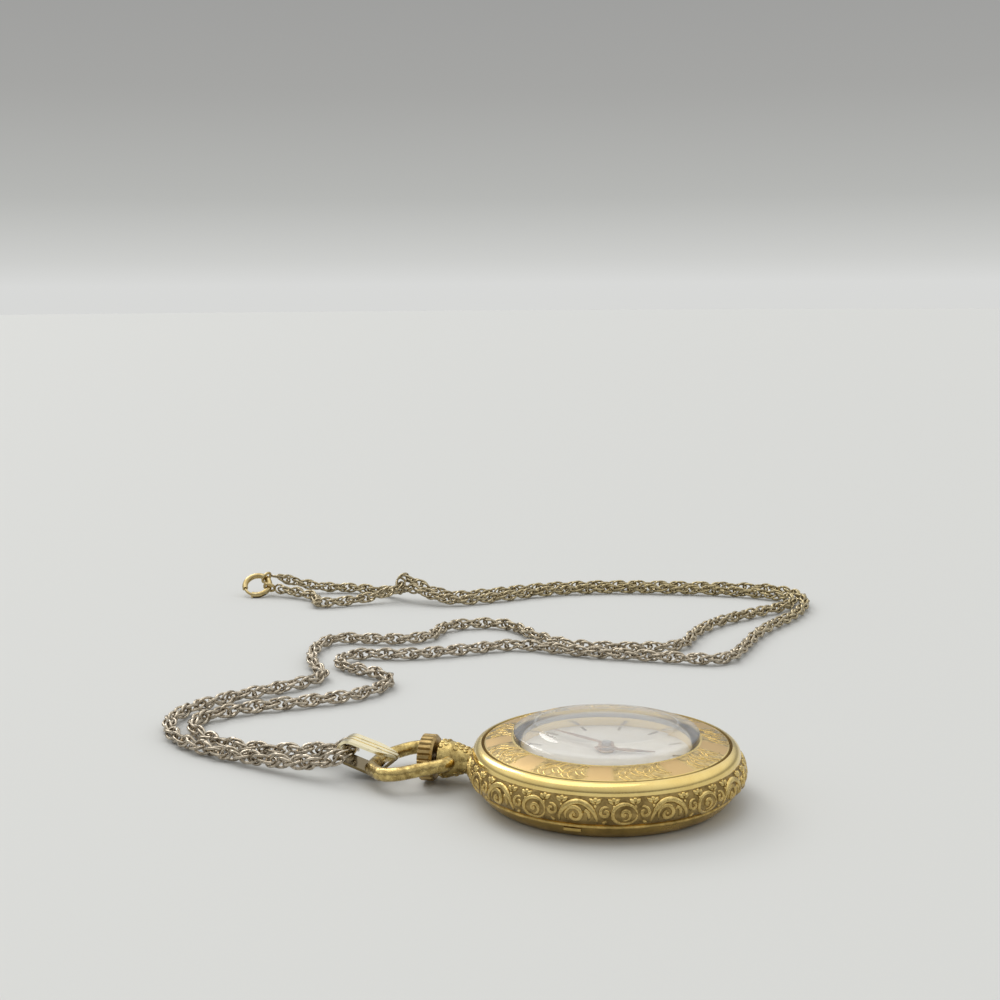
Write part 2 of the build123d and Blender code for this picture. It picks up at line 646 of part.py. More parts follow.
def make_case_back():
    """The snap-on back, with a small lip for the case knife."""
    cup = revolve(make_face(back_edges()), Axis.Z)
    lip_radius = BACK_RIM_RADIUS + OPENING_LIP_REACH
    lip_low = BACK_RIM_HEIGHT - OPENING_LIP_HEIGHT
    ring = washer((0, 0), BACK_BULGE_RADIUS + OPENING_LIP_REACH, lip_radius, lip_low, BACK_RIM_HEIGHT)
    slab = Rot(0, 0, OPENING_LIP_ANGLE) * Pos(BACK_RIM_RADIUS, 0, lip_low) * Box(
        2 * OPENING_LIP_WIDTH, OPENING_LIP_WIDTH, 2 * OPENING_LIP_HEIGHT
    )
    return cup + (ring & slab)


def band_edges(bore):
    """The half section of the case band, from a bore radius to the ornamented side."""
    ridge_top = BACK_RIM_HEIGHT + BAND_RIDGE_HEIGHT
    return [
        Line((bore, 0, BACK_RIM_HEIGHT), (BAND_RIDGE_FOOT_RADIUS, 0, BACK_RIM_HEIGHT)),
        ThreePointArc((BAND_RIDGE_FOOT_RADIUS, 0, BACK_RIM_HEIGHT),
                      (BAND_RIDGE_RADIUS, 0, (BACK_RIM_HEIGHT + ridge_top) / 2),
                      (BAND_RIDGE_FOOT_RADIUS, 0, ridge_top)),
        Spline((BAND_RIDGE_FOOT_RADIUS, 0, ridge_top), (CASE_RADIUS, 0, BAND_WIDEST_Z),
               (BAND_UPPER_RADIUS, 0, BAND_UPPER_Z), (BAND_TOP_RADIUS, 0, BAND_TOP_Z)),
        Polyline((BAND_TOP_RADIUS, 0, BAND_TOP_Z), (bore, 0, BAND_TOP_Z), (bore, 0, BACK_RIM_HEIGHT)),
    ]


def make_case_band():
    """The side wall, bored for the stem and the neck's tenon."""
    wall = revolve(make_face(band_edges(BAND_BORE_RADIUS)), Axis.Z)
    tenon_hole = rod_along_y(NECK_TENON_RADIUS, NECK_TENON_START_Y, CASE_RADIUS + OVERRUN)
    stem_hole = rod_along_y(NECK_BORE_RADIUS, BAND_BORE_RADIUS - OVERRUN, CASE_RADIUS + OVERRUN)
    return wall - tenon_hole - stem_hole


def make_bezel():
    """The bezel: snap lip, polished slope, groove and the ring that holds the crystal."""
    lip_outer = BAND_BORE_RADIUS - SEAT_GAP
    lip_inner = lip_outer - BEZEL_LIP_WALL
    groove_inner = BEZEL_SLOPE_RADIUS - BEZEL_GROOVE_WIDTH
    groove_floor = BEZEL_SLOPE_Z - BEZEL_GROOVE_DEPTH
    crystal_hole = CRYSTAL_RADIUS + SEAT_GAP
    shelf_low = DIAL_LOW_Z + DIAL_THICKNESS + SEAT_GAP
    edges = [
        Line((lip_outer, 0, BAND_TOP_Z), (BAND_TOP_RADIUS, 0, BAND_TOP_Z)),
        ThreePointArc((BAND_TOP_RADIUS, 0, BAND_TOP_Z), (BEZEL_BULGE_RADIUS, 0, BEZEL_BULGE_Z),
                      (BEZEL_SLOPE_RADIUS, 0, BEZEL_SLOPE_Z)),
        Polyline((BEZEL_SLOPE_RADIUS, 0, BEZEL_SLOPE_Z),
                 ((BEZEL_SLOPE_RADIUS + groove_inner) / 2, 0, groove_floor),
                 (groove_inner, 0, BEZEL_SLOPE_Z)),
        ThreePointArc((groove_inner, 0, BEZEL_SLOPE_Z),
                      ((groove_inner + crystal_hole) / 2, 0,
                       (BEZEL_SLOPE_Z + BEZEL_INNER_Z) / 2 + BEZEL_RING_RISE),
                      (crystal_hole, 0, BEZEL_INNER_Z)),
        Polyline((crystal_hole, 0, BEZEL_INNER_Z), (crystal_hole, 0, BEZEL_SEAT_Z),
                 (BEZEL_OPENING_RADIUS, 0, BEZEL_SEAT_Z),
                 (BEZEL_OPENING_RADIUS, 0, shelf_low), (lip_inner, 0, shelf_low),
                 (lip_inner, 0, BAND_TOP_Z - BEZEL_LIP_HEIGHT), (lip_outer, 0,
                                                                 BAND_TOP_Z - BEZEL_LIP_HEIGHT),
                 (lip_outer, 0, BAND_TOP_Z)),
    ]
    return revolve(make_face(edges), Axis.Z)


def make_crystal():
    """The domed acrylic crystal, one even thickness over the dial."""
    foot_inner = CRYSTAL_RADIUS - CRYSTAL_FOOT_WALL
    inner_top = CRYSTAL_APEX_Z - CRYSTAL_THICKNESS
    inner_shoulder = CRYSTAL_SHOULDER_Z - CRYSTAL_THICKNESS
    edges = [
        Line((CRYSTAL_RADIUS, 0, BEZEL_SEAT_Z), (CRYSTAL_RADIUS, 0, CRYSTAL_WALL_TOP_Z)),
        Spline((CRYSTAL_RADIUS, 0, CRYSTAL_WALL_TOP_Z), (CRYSTAL_BEND_RADIUS, 0, CRYSTAL_BEND_Z),
               (CRYSTAL_SHOULDER_RADIUS, 0, CRYSTAL_SHOULDER_Z), (0, 0, CRYSTAL_APEX_Z),
               tangents=[(0, 0, 1), (-1, 0, 0)]),
        Line((0, 0, CRYSTAL_APEX_Z), (0, 0, inner_top)),
        Spline((0, 0, inner_top), (CRYSTAL_INNER_SHOULDER_RADIUS, 0, inner_shoulder), (foot_inner, 0,
                                                                                 BEZEL_SEAT_Z),
               tangents=[(1, 0, 0), (0, 0, -1)]),
        Line((foot_inner, 0, BEZEL_SEAT_Z), (CRYSTAL_RADIUS, 0, BEZEL_SEAT_Z)),
    ]
    return revolve(make_face(edges), Axis.Z)


def make_neck():
    """The pendant neck: it plugs into the band, carries the bow and lets the stem through."""
    outer = [
        Line((NECK_ROOT_RADIUS, 0, NECK_START_Y), (NECK_ROOT_RADIUS, 0, BAND_TOP_RADIUS)),
        Spline((NECK_ROOT_RADIUS, 0, BAND_TOP_RADIUS), (NECK_WAIST_RADIUS, 0, NECK_WAIST_Y),
               (NECK_EAR_RADIUS, 0, NECK_EAR_Y), (NECK_END_RADIUS, 0, NECK_END_Y - NECK_EDGE)),
        Polyline((NECK_END_RADIUS, 0, NECK_END_Y - NECK_EDGE), (NECK_END_RADIUS - NECK_EDGE, 0, NECK_END_Y),
                 (0, 0, NECK_END_Y), (0, 0, NECK_START_Y), (NECK_ROOT_RADIUS, 0, NECK_START_Y)),
    ]
    body = Pos(0, 0, STEM_Z) * Rot(-90, 0, 0) * revolve(make_face(outer), Axis.Z)
    body -= revolve(make_face(band_edges(0)), Axis.Z)
    body -= post((0, 0), BAND_TOP_RADIUS, BAND_TOP_Z, BEZEL_SLOPE_Z)
    body -= post((0, 0), BACK_RIM_RADIUS, 0, BACK_RIM_HEIGHT)
    body += rod_along_y(NECK_TENON_RADIUS, NECK_TENON_START_Y, NECK_TENON_END_Y)
    body -= rod_along_y(NECK_BORE_RADIUS, NECK_TENON_START_Y - OVERRUN, NECK_END_Y + OVERRUN)
    pin_hole = Cylinder(BOW_PIN_RADIUS + RUNNING_GAP, 2 * NECK_END_RADIUS + OVERRUN)
    body -= Pos(0, NECK_EAR_Y, STEM_Z + BOW_PIVOT_RISE) * Rot(0, 90, 0) * pin_hole
    return body


def bow_frame():
    """Where the bow is: its pivot line is the local X axis, and it runs out along the local Y axis."""
    drop = degrees(asin(BOW_DROP / BOW_LENGTH))
    return Pos(0, NECK_EAR_Y, STEM_Z + BOW_PIVOT_RISE) * Rot(-drop, 0, 0)


def bow_bar():
    """Where the middle of the bow's end bar is, along Y and in height."""
    reach = sqrt(BOW_LENGTH ** 2 - BOW_DROP ** 2)
    return NECK_EAR_Y + reach, STEM_Z + BOW_PIVOT_RISE - BOW_DROP


def make_bow():
    """The pear-shaped bow, with a thin pin at each end that turns in the neck."""
    shoulder_x = NECK_EAR_RADIUS + BOW_SHOULDER_GAP
    path = FilletPolyline(
        (shoulder_x, 0, 0), (BOW_ROOT_X, 0, 0), (BOW_WIDEST_X, BOW_WIDEST_REACH, 0), (BOW_END_X,
                                                                                      BOW_LENGTH, 0),
        (-BOW_END_X, BOW_LENGTH, 0), (-BOW_WIDEST_X, BOW_WIDEST_REACH, 0), (-BOW_ROOT_X, 0, 0),
        (-shoulder_x, 0, 0),
        radius=[
            BOW_ROOT_TURN_RADIUS, BOW_WIDEST_TURN_RADIUS, BOW_END_TURN_RADIUS,
            BOW_END_TURN_RADIUS, BOW_WIDEST_TURN_RADIUS, BOW_ROOT_TURN_RADIUS,
        ],
    )
    section = Plane(origin=(shoulder_x, 0, 0), z_dir=(1, 0, 0)) * Circle(BOW_WIRE_RADIUS)
    wire = sweep(section, path=path)
    pin_length = shoulder_x - BOW_PIN_INNER_X + BITE
    for side in (-1, 1):
        pin = Cylinder(BOW_PIN_RADIUS, pin_length, align=(Align.CENTER, Align.CENTER, Align.MIN))
        wire += Pos(side * BOW_PIN_INNER_X, 0, 0) * Rot(0, side * 90, 0) * pin
    return bow_frame() * wire


def bail_hull(bar_radius, chain_radius, tip_radius):
    """The flat shape of a belt drawn round the bow's bar, the chain and the bail's own tip."""
    bar_y, bar_z = bow_bar()
    rounds = [
        (bar_y, bar_z, bar_radius),
        (CHAIN_EYE_Y, CHAIN_EYE_Z, chain_radius),
        (bar_y - BAIL_TIP_REACH, BAIL_TIP_Z, tip_radius),
    ]
    circles = [Pos(y, z, 0) * Circle(radius) for y, z, radius in rounds]
    edges = [edge for circle in circles for edge in circle.edges()]
    return make_hull(edges)


def bail_plan(tip_y, middle_y, fold_y):
    """The bail's outline from above: a narrow tip, a wide middle and the fold."""
    return make_face([
        Line((-BAIL_TIP_WIDTH / 2, tip_y, 0), (BAIL_TIP_WIDTH / 2, tip_y, 0)),
        Spline((BAIL_TIP_WIDTH / 2, tip_y, 0), (BAIL_MIDDLE_WIDTH / 2, middle_y, 0),
               (BAIL_FOLD_WIDTH / 2, fold_y, 0)),
        Line((BAIL_FOLD_WIDTH / 2, fold_y, 0), (-BAIL_FOLD_WIDTH / 2, fold_y, 0)),
        Spline((-BAIL_FOLD_WIDTH / 2, fold_y, 0), (-BAIL_MIDDLE_WIDTH / 2, middle_y, 0),
               (-BAIL_TIP_WIDTH / 2, tip_y, 0)),
    ])


def make_bail():
    """The bail: a strip folded round the bow's bar and the chain, ribbed along its length."""
    bar = BOW_WIRE_RADIUS + BAIL_BAR_GAP
    chain = CHAIN_RADIUS + BAIL_CHAIN_GAP
    flat = bail_hull(bar + BAIL_SHEET, chain + BAIL_SHEET, BAIL_TIP_SPACE + BAIL_SHEET)
    space = bail_hull(bar, chain, BAIL_TIP_SPACE)
    loop = extrude(flat - space, BAIL_MIDDLE_WIDTH / 2, both=True)
    loop = Plane(origin=(0, 0, 0), x_dir=(0, 1, 0), z_dir=(1, 0, 0)) * loop
    bar_y = bow_bar()[0]
    plan = bail_plan(bar_y - BAIL_TIP_REACH - BAIL_TIP_SPACE - BAIL_SHEET, bar_y,
                     CHAIN_EYE_Y + chain + BAIL_SHEET)
    loop &= extrude(plan, CHAIN_EYE_Z + chain + BAIL_SHEET + OVERRUN, dir=(0, 0, 1))
    core = bail_hull(bar + BAIL_SHEET - BAIL_RIB_DEPTH, chain + BAIL_SHEET - BAIL_RIB_DEPTH,
                     BAIL_TIP_SPACE + BAIL_SHEET - BAIL_RIB_DEPTH)
    for number in range(BAIL_GROOVES):
        side = 2 * number - (BAIL_GROOVES - 1)
        groove = extrude(flat - core, BAIL_RIB_WIDTH / 2, both=True)
        groove = Plane(origin=(0, 0, 0), x_dir=(0, 1, 0), z_dir=(1, 0, 0)) * groove
        loop -= Pos(side * BAIL_GROOVE_PLACE, 0, 0) * groove
    return loop


def make_crown():
    """The winding crown: fluted round its edge, domed outside, bored for the stem."""
    step = 360 / CROWN_FLUTES
    points = []
    for flute in range(CROWN_FLUTES):
        points.append(polar(CROWN_RADIUS, flute * step))
        points.append(polar(CROWN_RADIUS, (flute + CROWN_FLUTE_TOP_SHARE) * step))
        points.append(polar(CROWN_RADIUS - CROWN_FLUTE_DEPTH, (flute + CROWN_FLUTE_FLOOR_SHARE) * step))
    fluted = plate_from(points, 0, CROWN_LENGTH)
    turn = radians(CROWN_DOME_ANGLE)
    rise = CROWN_LENGTH - CROWN_RIM_LENGTH
    dome = make_face([
        Polyline((0, 0, 0), (CROWN_RADIUS - CROWN_EDGE, 0, 0), (CROWN_RADIUS, 0, CROWN_EDGE),
                 (CROWN_RADIUS, 0, CROWN_RIM_LENGTH)),
        ThreePointArc((CROWN_RADIUS, 0, CROWN_RIM_LENGTH),
                      (CROWN_RADIUS * cos(turn), 0, CROWN_RIM_LENGTH + rise * sin(turn)), (0, 0,
                                                                                           CROWN_LENGTH)),
        Line((0, 0, CROWN_LENGTH), (0, 0, 0)),
    ])
    cap = fluted & revolve(dome, Axis.Z)
    cap -= Cylinder(STEM_RADIUS, 2 * CROWN_STEM_DEPTH)
    return Pos(0, CROWN_START_Y, STEM_Z) * Rot(-90, 0, 0) * cap


def make_stem():
    """The stem: pivot tip, square for the clutch, round body with a groove, and the crown's end."""
    tip = rod_along_y(STEM_TIP_RADIUS, STEM_TIP_START_Y, STEM_SQUARE_START_Y)
    half = STEM_SQUARE_SIDE / 2
    square = block((-half, STEM_SQUARE_START_Y, STEM_Z - half), (half, STEM_SQUARE_END_Y, STEM_Z + half))
    body = rod_along_y(STEM_RADIUS, STEM_SQUARE_END_Y, CROWN_START_Y + CROWN_STEM_DEPTH)
    groove_start = STEM_GROOVE_Y - STEM_GROOVE_WIDTH / 2
    groove = rod_along_y(STEM_RADIUS + OVERRUN, groove_start, groove_start + STEM_GROOVE_WIDTH)
    groove -= rod_along_y(STEM_GROOVE_RADIUS, groove_start, groove_start + STEM_GROOVE_WIDTH)
    return tip + square + (body - groove)


def strand_path(route):
    """A chain strand's middle line: straight runs joined by tangent arcs, and the arcs' radii."""
    points = [(0, CHAIN_EYE_Y, CHAIN_EYE_Z)]
    points += [(x, y + CHAIN_ROUTE_SHIFT, z) for x, y, z in route]
    runs = [(Vector(*end) - Vector(*start)) for start, end in zip(points, points[1:])]
    last = len(runs) - 1
    rooms = [run.length if number in (0, last) else run.length / 2 for number, run in enumerate(runs)]
    radii = []
    for number in range(last):
        turn = radians(runs[number].get_angle(runs[number + 1]))
        radii.append(CHAIN_TURN_SHARE * min(rooms[number], rooms[number + 1]) / tan(turn / 2))
    radii[0] = CHAIN_EYE_TURN_RADIUS
    return FilletPolyline(*points, radius=radii), radii, runs[0]


def make_strand(route, name):
    """One strand of the chain as a plain round tube along its route."""
    path, radii, start = strand_path(route)
    section = Plane(origin=(0, CHAIN_EYE_Y, CHAIN_EYE_Z), z_dir=start) * Circle(CHAIN_RADIUS)
    tube = sweep(section, path=path)
    print(name, "length", round(path.length, 1), "tightest turns", sorted(round(radius,
                                                                                1) for radius in radii)[:6],
          "volume", round(tube.volume, 1), "section times length",
          round(pi * CHAIN_RADIUS ** 2 * path.length, 1))
    return tube


def clasp_frame():
    """Where the spring ring lies: its own plane is local XY, its near side on the table."""
    height = CLASP_RING_RADIUS * sin(radians(CLASP_TILT)) + CLASP_WIRE_RADIUS
    return Pos(CLASP_CENTRE_X, CLASP_CENTRE_Y, height) * Rot(0, 0, CLASP_FACING - 90) * Rot(CLASP_TILT, 0, 0)


def ring_arc(wire, start, end):
    """A bent round bar in the spring ring's plane, from one angle to another."""
    place = polar(CLASP_RING_RADIUS, start)
    section = Plane(origin=(place[0], place[1], 0), z_dir=(-sin(radians(start)), cos(radians(start)),
                                                           0)) * Circle(wire)
    return revolve(section, Axis.Z, revolution_arc=end - start)


def make_spring_ring():
    """The clasp's hollow ring, with a gap, a bore for the gate and a slot for its thumb nib."""
    gap_end = CLASP_GAP_START + CLASP_GAP_ANGLE
    body = ring_arc(CLASP_WIRE_RADIUS, gap_end, CLASP_GAP_START + 360)
    body -= ring_arc(CLASP_BORE_RADIUS, gap_end, gap_end + 2 * CLASP_GATE_TRAVEL + CLASP_NIB_BACK_ANGLE)
    slot_end = gap_end + CLASP_GATE_TRAVEL + 2 * CLASP_NIB_BACK_ANGLE
    slot = washer((0, 0), CLASP_RING_RADIUS, CLASP_RING_RADIUS + 2 * CLASP_WIRE_RADIUS,
                  -CLASP_SLOT_WIDTH / 2,
                  CLASP_SLOT_WIDTH / 2)
    sector = [(0, 0)]
    for step in range(CLASP_SLOT_STEPS + 1):
        sector.append(polar(2 * CLASP_RING_RADIUS, gap_end + (slot_end - gap_end) * step / CLASP_SLOT_STEPS))
    slot &= plate_from(sector, -CLASP_WIRE_RADIUS, CLASP_WIRE_RADIUS)
    return clasp_frame() * (body - slot)


def make_gate():
    """The clasp's sliding gate, closed, with the nib that a thumbnail pulls."""
    gap_end = CLASP_GAP_START + CLASP_GAP_ANGLE
    start = CLASP_GAP_START + degrees(RUNNING_GAP / CLASP_RING_RADIUS)
    nib_angle = gap_end + CLASP_NIB_BACK_ANGLE
    pin = ring_arc(CLASP_GATE_RADIUS, start, gap_end + CLASP_GATE_TRAVEL)
    place = polar(CLASP_RING_RADIUS, nib_angle)
    nib = Pos(place[0], place[1], 0) * Rot(0, 0, nib_angle) * Rot(0, 90, 0) * Cylinder(
        CLASP_NIB_RADIUS, CLASP_WIRE_RADIUS + CLASP_NIB_HEIGHT / 2, align=(Align.CENTER, Align.CENTER,
                                                                           Align.MIN)
    )
    return clasp_frame() * (pin + nib)


def make_jump_ring(angle):
    """A small closed ring that hangs on the spring ring's wire at an angle round it."""
    place = polar(CLASP_RING_RADIUS + RUNNING_GAP * 2, angle)
    torus = Torus(LINK_RING_RADIUS, LINK_WIRE_RADIUS)
    return clasp_frame() * Pos(place[0], place[1], 0) * Rot(0, 0, angle) * Rot(90, 0, 0) * torus


def make_dial():
    """The dial plate, with two feet that stand in the main plate."""
    plate = washer((0, 0), DIAL_HOLE_RADIUS, DIAL_RADIUS, DIAL_LOW_Z, DIAL_LOW_Z + DIAL_THICKNESS)
    for angle in DIAL_FOOT_ANGLES:
        plate += post(polar(DIAL_FOOT_PLACE_RADIUS, angle), DIAL_FOOT_RADIUS,
                      PLATE_TOP_Z - DIAL_THICKNESS, DIAL_LOW_Z)
    return plate


def make_markers():
    """The applied hour batons, all in one group."""
    group = []
    top = DIAL_LOW_Z + DIAL_THICKNESS
    for number in range(MARKER_COUNT):
        angle = 360 * number / MARKER_COUNT
        baton = Pos(MARKER_RING_RADIUS, 0, top) * Box(
            MARKER_LENGTH, MARKER_WIDTH, MARKER_HEIGHT, align=(Align.CENTER, Align.CENTER, Align.MIN)
        )
        group.append(Rot(0, 0, angle) * baton)
    return Compound(children=group)


def make_hand(length, width, tail, hole, low, angle):
    """A slim leaf-shaped hand on a round hub, pointing along a bearing."""
    hub = hole + HAND_HUB_WALL
    tip = width * HAND_TIP_WIDTH_SHARE / 2
    widest = length * HAND_WIDEST_SHARE
    root = width * HAND_TAIL_WIDTH_SHARE / 2
    leaf = plate_from([(0, -tip * 2), (widest, -width / 2), (length, -tip), (length, tip), (widest,
                                                                                            width / 2),
                       (0, tip * 2)], low, low + HAND_THICKNESS)
    back = plate_from([(0, -root), (0, root), (-tail, tip), (-tail, -tip)], low, low + HAND_THICKNESS)
    whole = leaf + back + post((0, 0), hub, low, low + HAND_THICKNESS)
    return Rot(0, 0, angle) * (whole - post((0, 0), hole, low - OVERRUN, low + OVERRUN))


def make_cannon_pinion():
    """The cannon pinion: leaves under the dial and a pipe that carries the minute hand."""
    leaves = gear((0, 0), CANNON_LEAVES, MOTION_MODULE, 0, MOTION_LOW_Z, CANNON_LEAF_LENGTH)
    pipe = post((0, 0), CANNON_RADIUS, MOTION_LOW_Z, MINUTE_HAND_Z + HAND_THICKNESS)
    cap = post((0, 0), CANNON_RADIUS + SEAT_GAP, MINUTE_HAND_Z + HAND_THICKNESS, CANNON_TOP_Z)
    return leaves + pipe + cap - post((0, 0), CENTRE_ARBOR_RADIUS + SEAT_GAP, MOTION_LOW_Z - OVERRUN,
                                      CANNON_TOP_Z - CANNON_CAP)


def minute_wheel_place():
    """Where the minute wheel meshes with both the cannon pinion and the setting wheel."""
    from_centre = pitch_radius_of(CANNON_LEAVES + MINUTE_WHEEL_TEETH, MOTION_MODULE)
    from_setting = pitch_radius_of(SETTING_WHEEL_TEETH + MINUTE_WHEEL_TEETH, MOTION_MODULE)
    apart = distance(CENTRE_PLACE, SETTING_PLACE)
    along = (apart ** 2 + from_centre ** 2 - from_setting ** 2) / (2 * apart)
    return (-sqrt(from_centre ** 2 - along ** 2), along)


def minute_wheel_phase():
    """A gap of the minute wheel faces a leaf of the cannon pinion."""
    return bearing(minute_wheel_place(), CENTRE_PLACE) + 180 / MINUTE_WHEEL_TEETH


def make_minute_wheel():
    """The minute wheel and the pinion on its back that drives the hour wheel."""
    place = minute_wheel_place()
    wheel = gear(place, MINUTE_WHEEL_TEETH, MOTION_MODULE, minute_wheel_phase(), MOTION_LOW_Z,
                 MOTION_THICKNESS)
    pinion_top = HOUR_WHEEL_Z + MOTION_THICKNESS
    back = bearing(place, CENTRE_PLACE)
    pinion = gear(place, MINUTE_PINION_LEAVES, HOUR_MODULE, back, MOTION_LOW_Z, pinion_top - MOTION_LOW_Z)
    return wheel + pinion - post(place, MOTION_POST_RADIUS + RUNNING_GAP, RECESS_FLOOR_Z,
                                 pinion_top + OVERRUN)


def make_hour_wheel():
    """The hour wheel, with the pipe that carries the hour hand round the cannon pinion."""
    phase = bearing(CENTRE_PLACE, minute_wheel_place()) + 180 / HOUR_WHEEL_TEETH
    wheel = gear((0, 0), HOUR_WHEEL_TEETH, HOUR_MODULE, phase, HOUR_WHEEL_Z, MOTION_THICKNESS)
    pipe = post((0, 0), HOUR_PIPE_RADIUS, HOUR_WHEEL_Z, HOUR_HAND_Z + HAND_THICKNESS)
    return wheel + pipe - post((0, 0), CANNON_RADIUS + RUNNING_GAP, HOUR_WHEEL_Z - OVERRUN,
                               HOUR_HAND_Z + OVERRUN)


def make_setting_wheel():
    """The setting wheel between the clutch and the minute wheel."""
    phase = bearing(SETTING_PLACE, minute_wheel_place())
    back = bearing(minute_wheel_place(), SETTING_PLACE)
    teeth_off = (back - minute_wheel_phase()) / (360 / MINUTE_WHEEL_TEETH)
    share = teeth_off - round(teeth_off)
    step = 360 / SETTING_WHEEL_TEETH
    wheel = gear(SETTING_PLACE, SETTING_WHEEL_TEETH, MOTION_MODULE, phase + step / 2 + share * step,
                 MOTION_LOW_Z,
                 MOTION_THICKNESS)
    return wheel - post(SETTING_PLACE, MOTION_POST_RADIUS + RUNNING_GAP, RECESS_FLOOR_Z,
                        MOTION_LOW_Z + OVERRUN)


def lever_recess(place, hub, width, target, spread, low):
    """The hollow in the main plate that a lever swings in."""
    hollow = post(place, hub + RECESS_MARGIN, low, PLATE_TOP_Z + OVERRUN)
    for side in (-1, 0, 1):
        reach = (target[0], target[1] + side * spread)
        hollow += bar_between(place, reach, width + 2 * RECESS_MARGIN, low, PLATE_TOP_Z + OVERRUN)
    return hollow


def make_main_plate():
    """The main plate, with its flange, the motion work's recess, the stem's bearings and its windows."""
    plate = post((0, 0), MOVEMENT_RADIUS, PLATE_LOW_Z, PLATE_TOP_Z)
    plate += post((0, 0), PLATE_FLANGE_RADIUS, PLATE_TOP_Z - PLATE_FLANGE_THICKNESS, PLATE_TOP_Z)
    plate -= post((0, 0), pitch_radius_of(HOUR_WHEEL_TEETH, HOUR_MODULE) + 2 * RECESS_MARGIN, RECESS_FLOOR_Z,
                  PLATE_TOP_Z + OVERRUN)
    minute_place = minute_wheel_place()
    plate -= post(minute_place, pitch_radius_of(MINUTE_WHEEL_TEETH, MOTION_MODULE) + 2 * RECESS_MARGIN,
                  RECESS_FLOOR_Z, PLATE_TOP_Z + OVERRUN)
    plate -= post(SETTING_PLACE, pitch_radius_of(SETTING_WHEEL_TEETH, MOTION_MODULE) + 2 * RECESS_MARGIN,
                  RECESS_FLOOR_Z, PLATE_TOP_Z + OVERRUN)
    plate -= lever_recess(LEVER_PLACE, LEVER_HUB_RADIUS, LEVER_ARM_WIDTH,
                          (0, STEM_GROOVE_Y + CROWN_PULL / 2), CROWN_PULL / 2, RECESS_FLOOR_Z)
    plate -= lever_recess(YOKE_PLACE, YOKE_HUB_RADIUS, YOKE_ARM_WIDTH,
                          (YOKE_PIN_X, CLUTCH_GROOVE_Y - CLUTCH_SLIDE / 2), CLUTCH_SLIDE / 2, RECESS_FLOOR_Z)
    pinion_half = pitch_radius_of(WINDING_PINION_TEETH, WINDING_MODULE) + WINDING_MODULE + RUNNING_GAP
    plate -= block((-pinion_half, WINDING_PINION_Y - RUNNING_GAP, PLATE_LOW_Z - OVERRUN),
                   (pinion_half, STEM_BLOCK_START_Y - RUNNING_GAP, PLATE_TOP_Z + OVERRUN))
    clutch_half = CLUTCH_RADIUS + RUNNING_GAP
    plate -= block((-clutch_half, CLUTCH_START_Y - CLUTCH_SLIDE - RUNNING_GAP, PLATE_LOW_Z - OVERRUN),
                   (clutch_half, WINDING_PINION_Y, PLATE_TOP_Z + OVERRUN))
    plate += block((-STEM_BLOCK_HALF, STEM_BLOCK_START_Y, STEM_BLOCK_LOW_Z),
                   (STEM_BLOCK_HALF, sqrt(MOVEMENT_RADIUS ** 2 - STEM_BLOCK_HALF ** 2), PLATE_LOW_Z))
    plate += block((-TIP_BLOCK_HALF, TIP_BLOCK_START_Y, TIP_BLOCK_LOW_Z),
                   (TIP_BLOCK_HALF, TIP_BLOCK_END_Y, PLATE_LOW_Z))
    plate -= rod_along_y(STEM_RADIUS + RUNNING_GAP, STEM_BLOCK_START_Y - OVERRUN / 2,
                         MOVEMENT_RADIUS + OVERRUN)
    plate -= rod_along_y(STEM_TIP_RADIUS + RUNNING_GAP, STEM_TIP_START_Y - RUNNING_GAP,
                         TIP_BLOCK_END_Y + RUNNING_GAP)
    pin_half = LEVER_PIN_RADIUS + 2 * RUNNING_GAP
    plate -= block((-pin_half, STEM_GROOVE_Y - pin_half, STEM_Z),
                   (pin_half + LEVER_PIN_RADIUS, STEM_GROOVE_Y + CROWN_PULL + pin_half, PLATE_TOP_Z))
    for place in (THIRD_PLACE, FOURTH_PLACE, ESCAPE_PLACE, FORK_PLACE, BALANCE_PLACE):
        plate -= post(place, JEWEL_RADIUS, PLATE_LOW_Z - OVERRUN, PLATE_LOW_Z + JEWEL_DEPTH)
    plate -= post(CENTRE_PLACE, CENTRE_ARBOR_RADIUS + RUNNING_GAP, PLATE_LOW_Z - OVERRUN, PLATE_TOP_Z)
    plate -= post(BARREL_PLACE, BARREL_ARBOR_RADIUS + RUNNING_GAP, PLATE_LOW_Z - OVERRUN,
                  BARREL_ARBOR_END_Z + RUNNING_GAP)
    for foot in BARREL_BRIDGE_FEET + TRAIN_BRIDGE_FEET + (COCK_FOOT,):
        plate -= post(foot, SCREW_SHANK_RADIUS, PLATE_LOW_Z - OVERRUN, SCREW_END_Z)
    for angle in DIAL_FOOT_ANGLES:
        plate -= post(polar(DIAL_FOOT_PLACE_RADIUS, angle), DIAL_FOOT_RADIUS, PLATE_TOP_Z - DIAL_THICKNESS,
                      PLATE_TOP_Z + OVERRUN)
    plate += post(minute_place, MOTION_POST_RADIUS, RECESS_FLOOR_Z - JEWEL_DEPTH, HOUR_WHEEL_Z)
    plate += post(SETTING_PLACE, MOTION_POST_RADIUS, RECESS_FLOOR_Z - JEWEL_DEPTH,
                  MOTION_LOW_Z + MOTION_THICKNESS)
    plate += post(LEVER_PLACE, MOTION_POST_RADIUS, RECESS_FLOOR_Z - JEWEL_DEPTH, PLATE_TOP_Z)
    plate += post(YOKE_PLACE, MOTION_POST_RADIUS, RECESS_FLOOR_Z - JEWEL_DEPTH, PLATE_TOP_Z)
    return plate


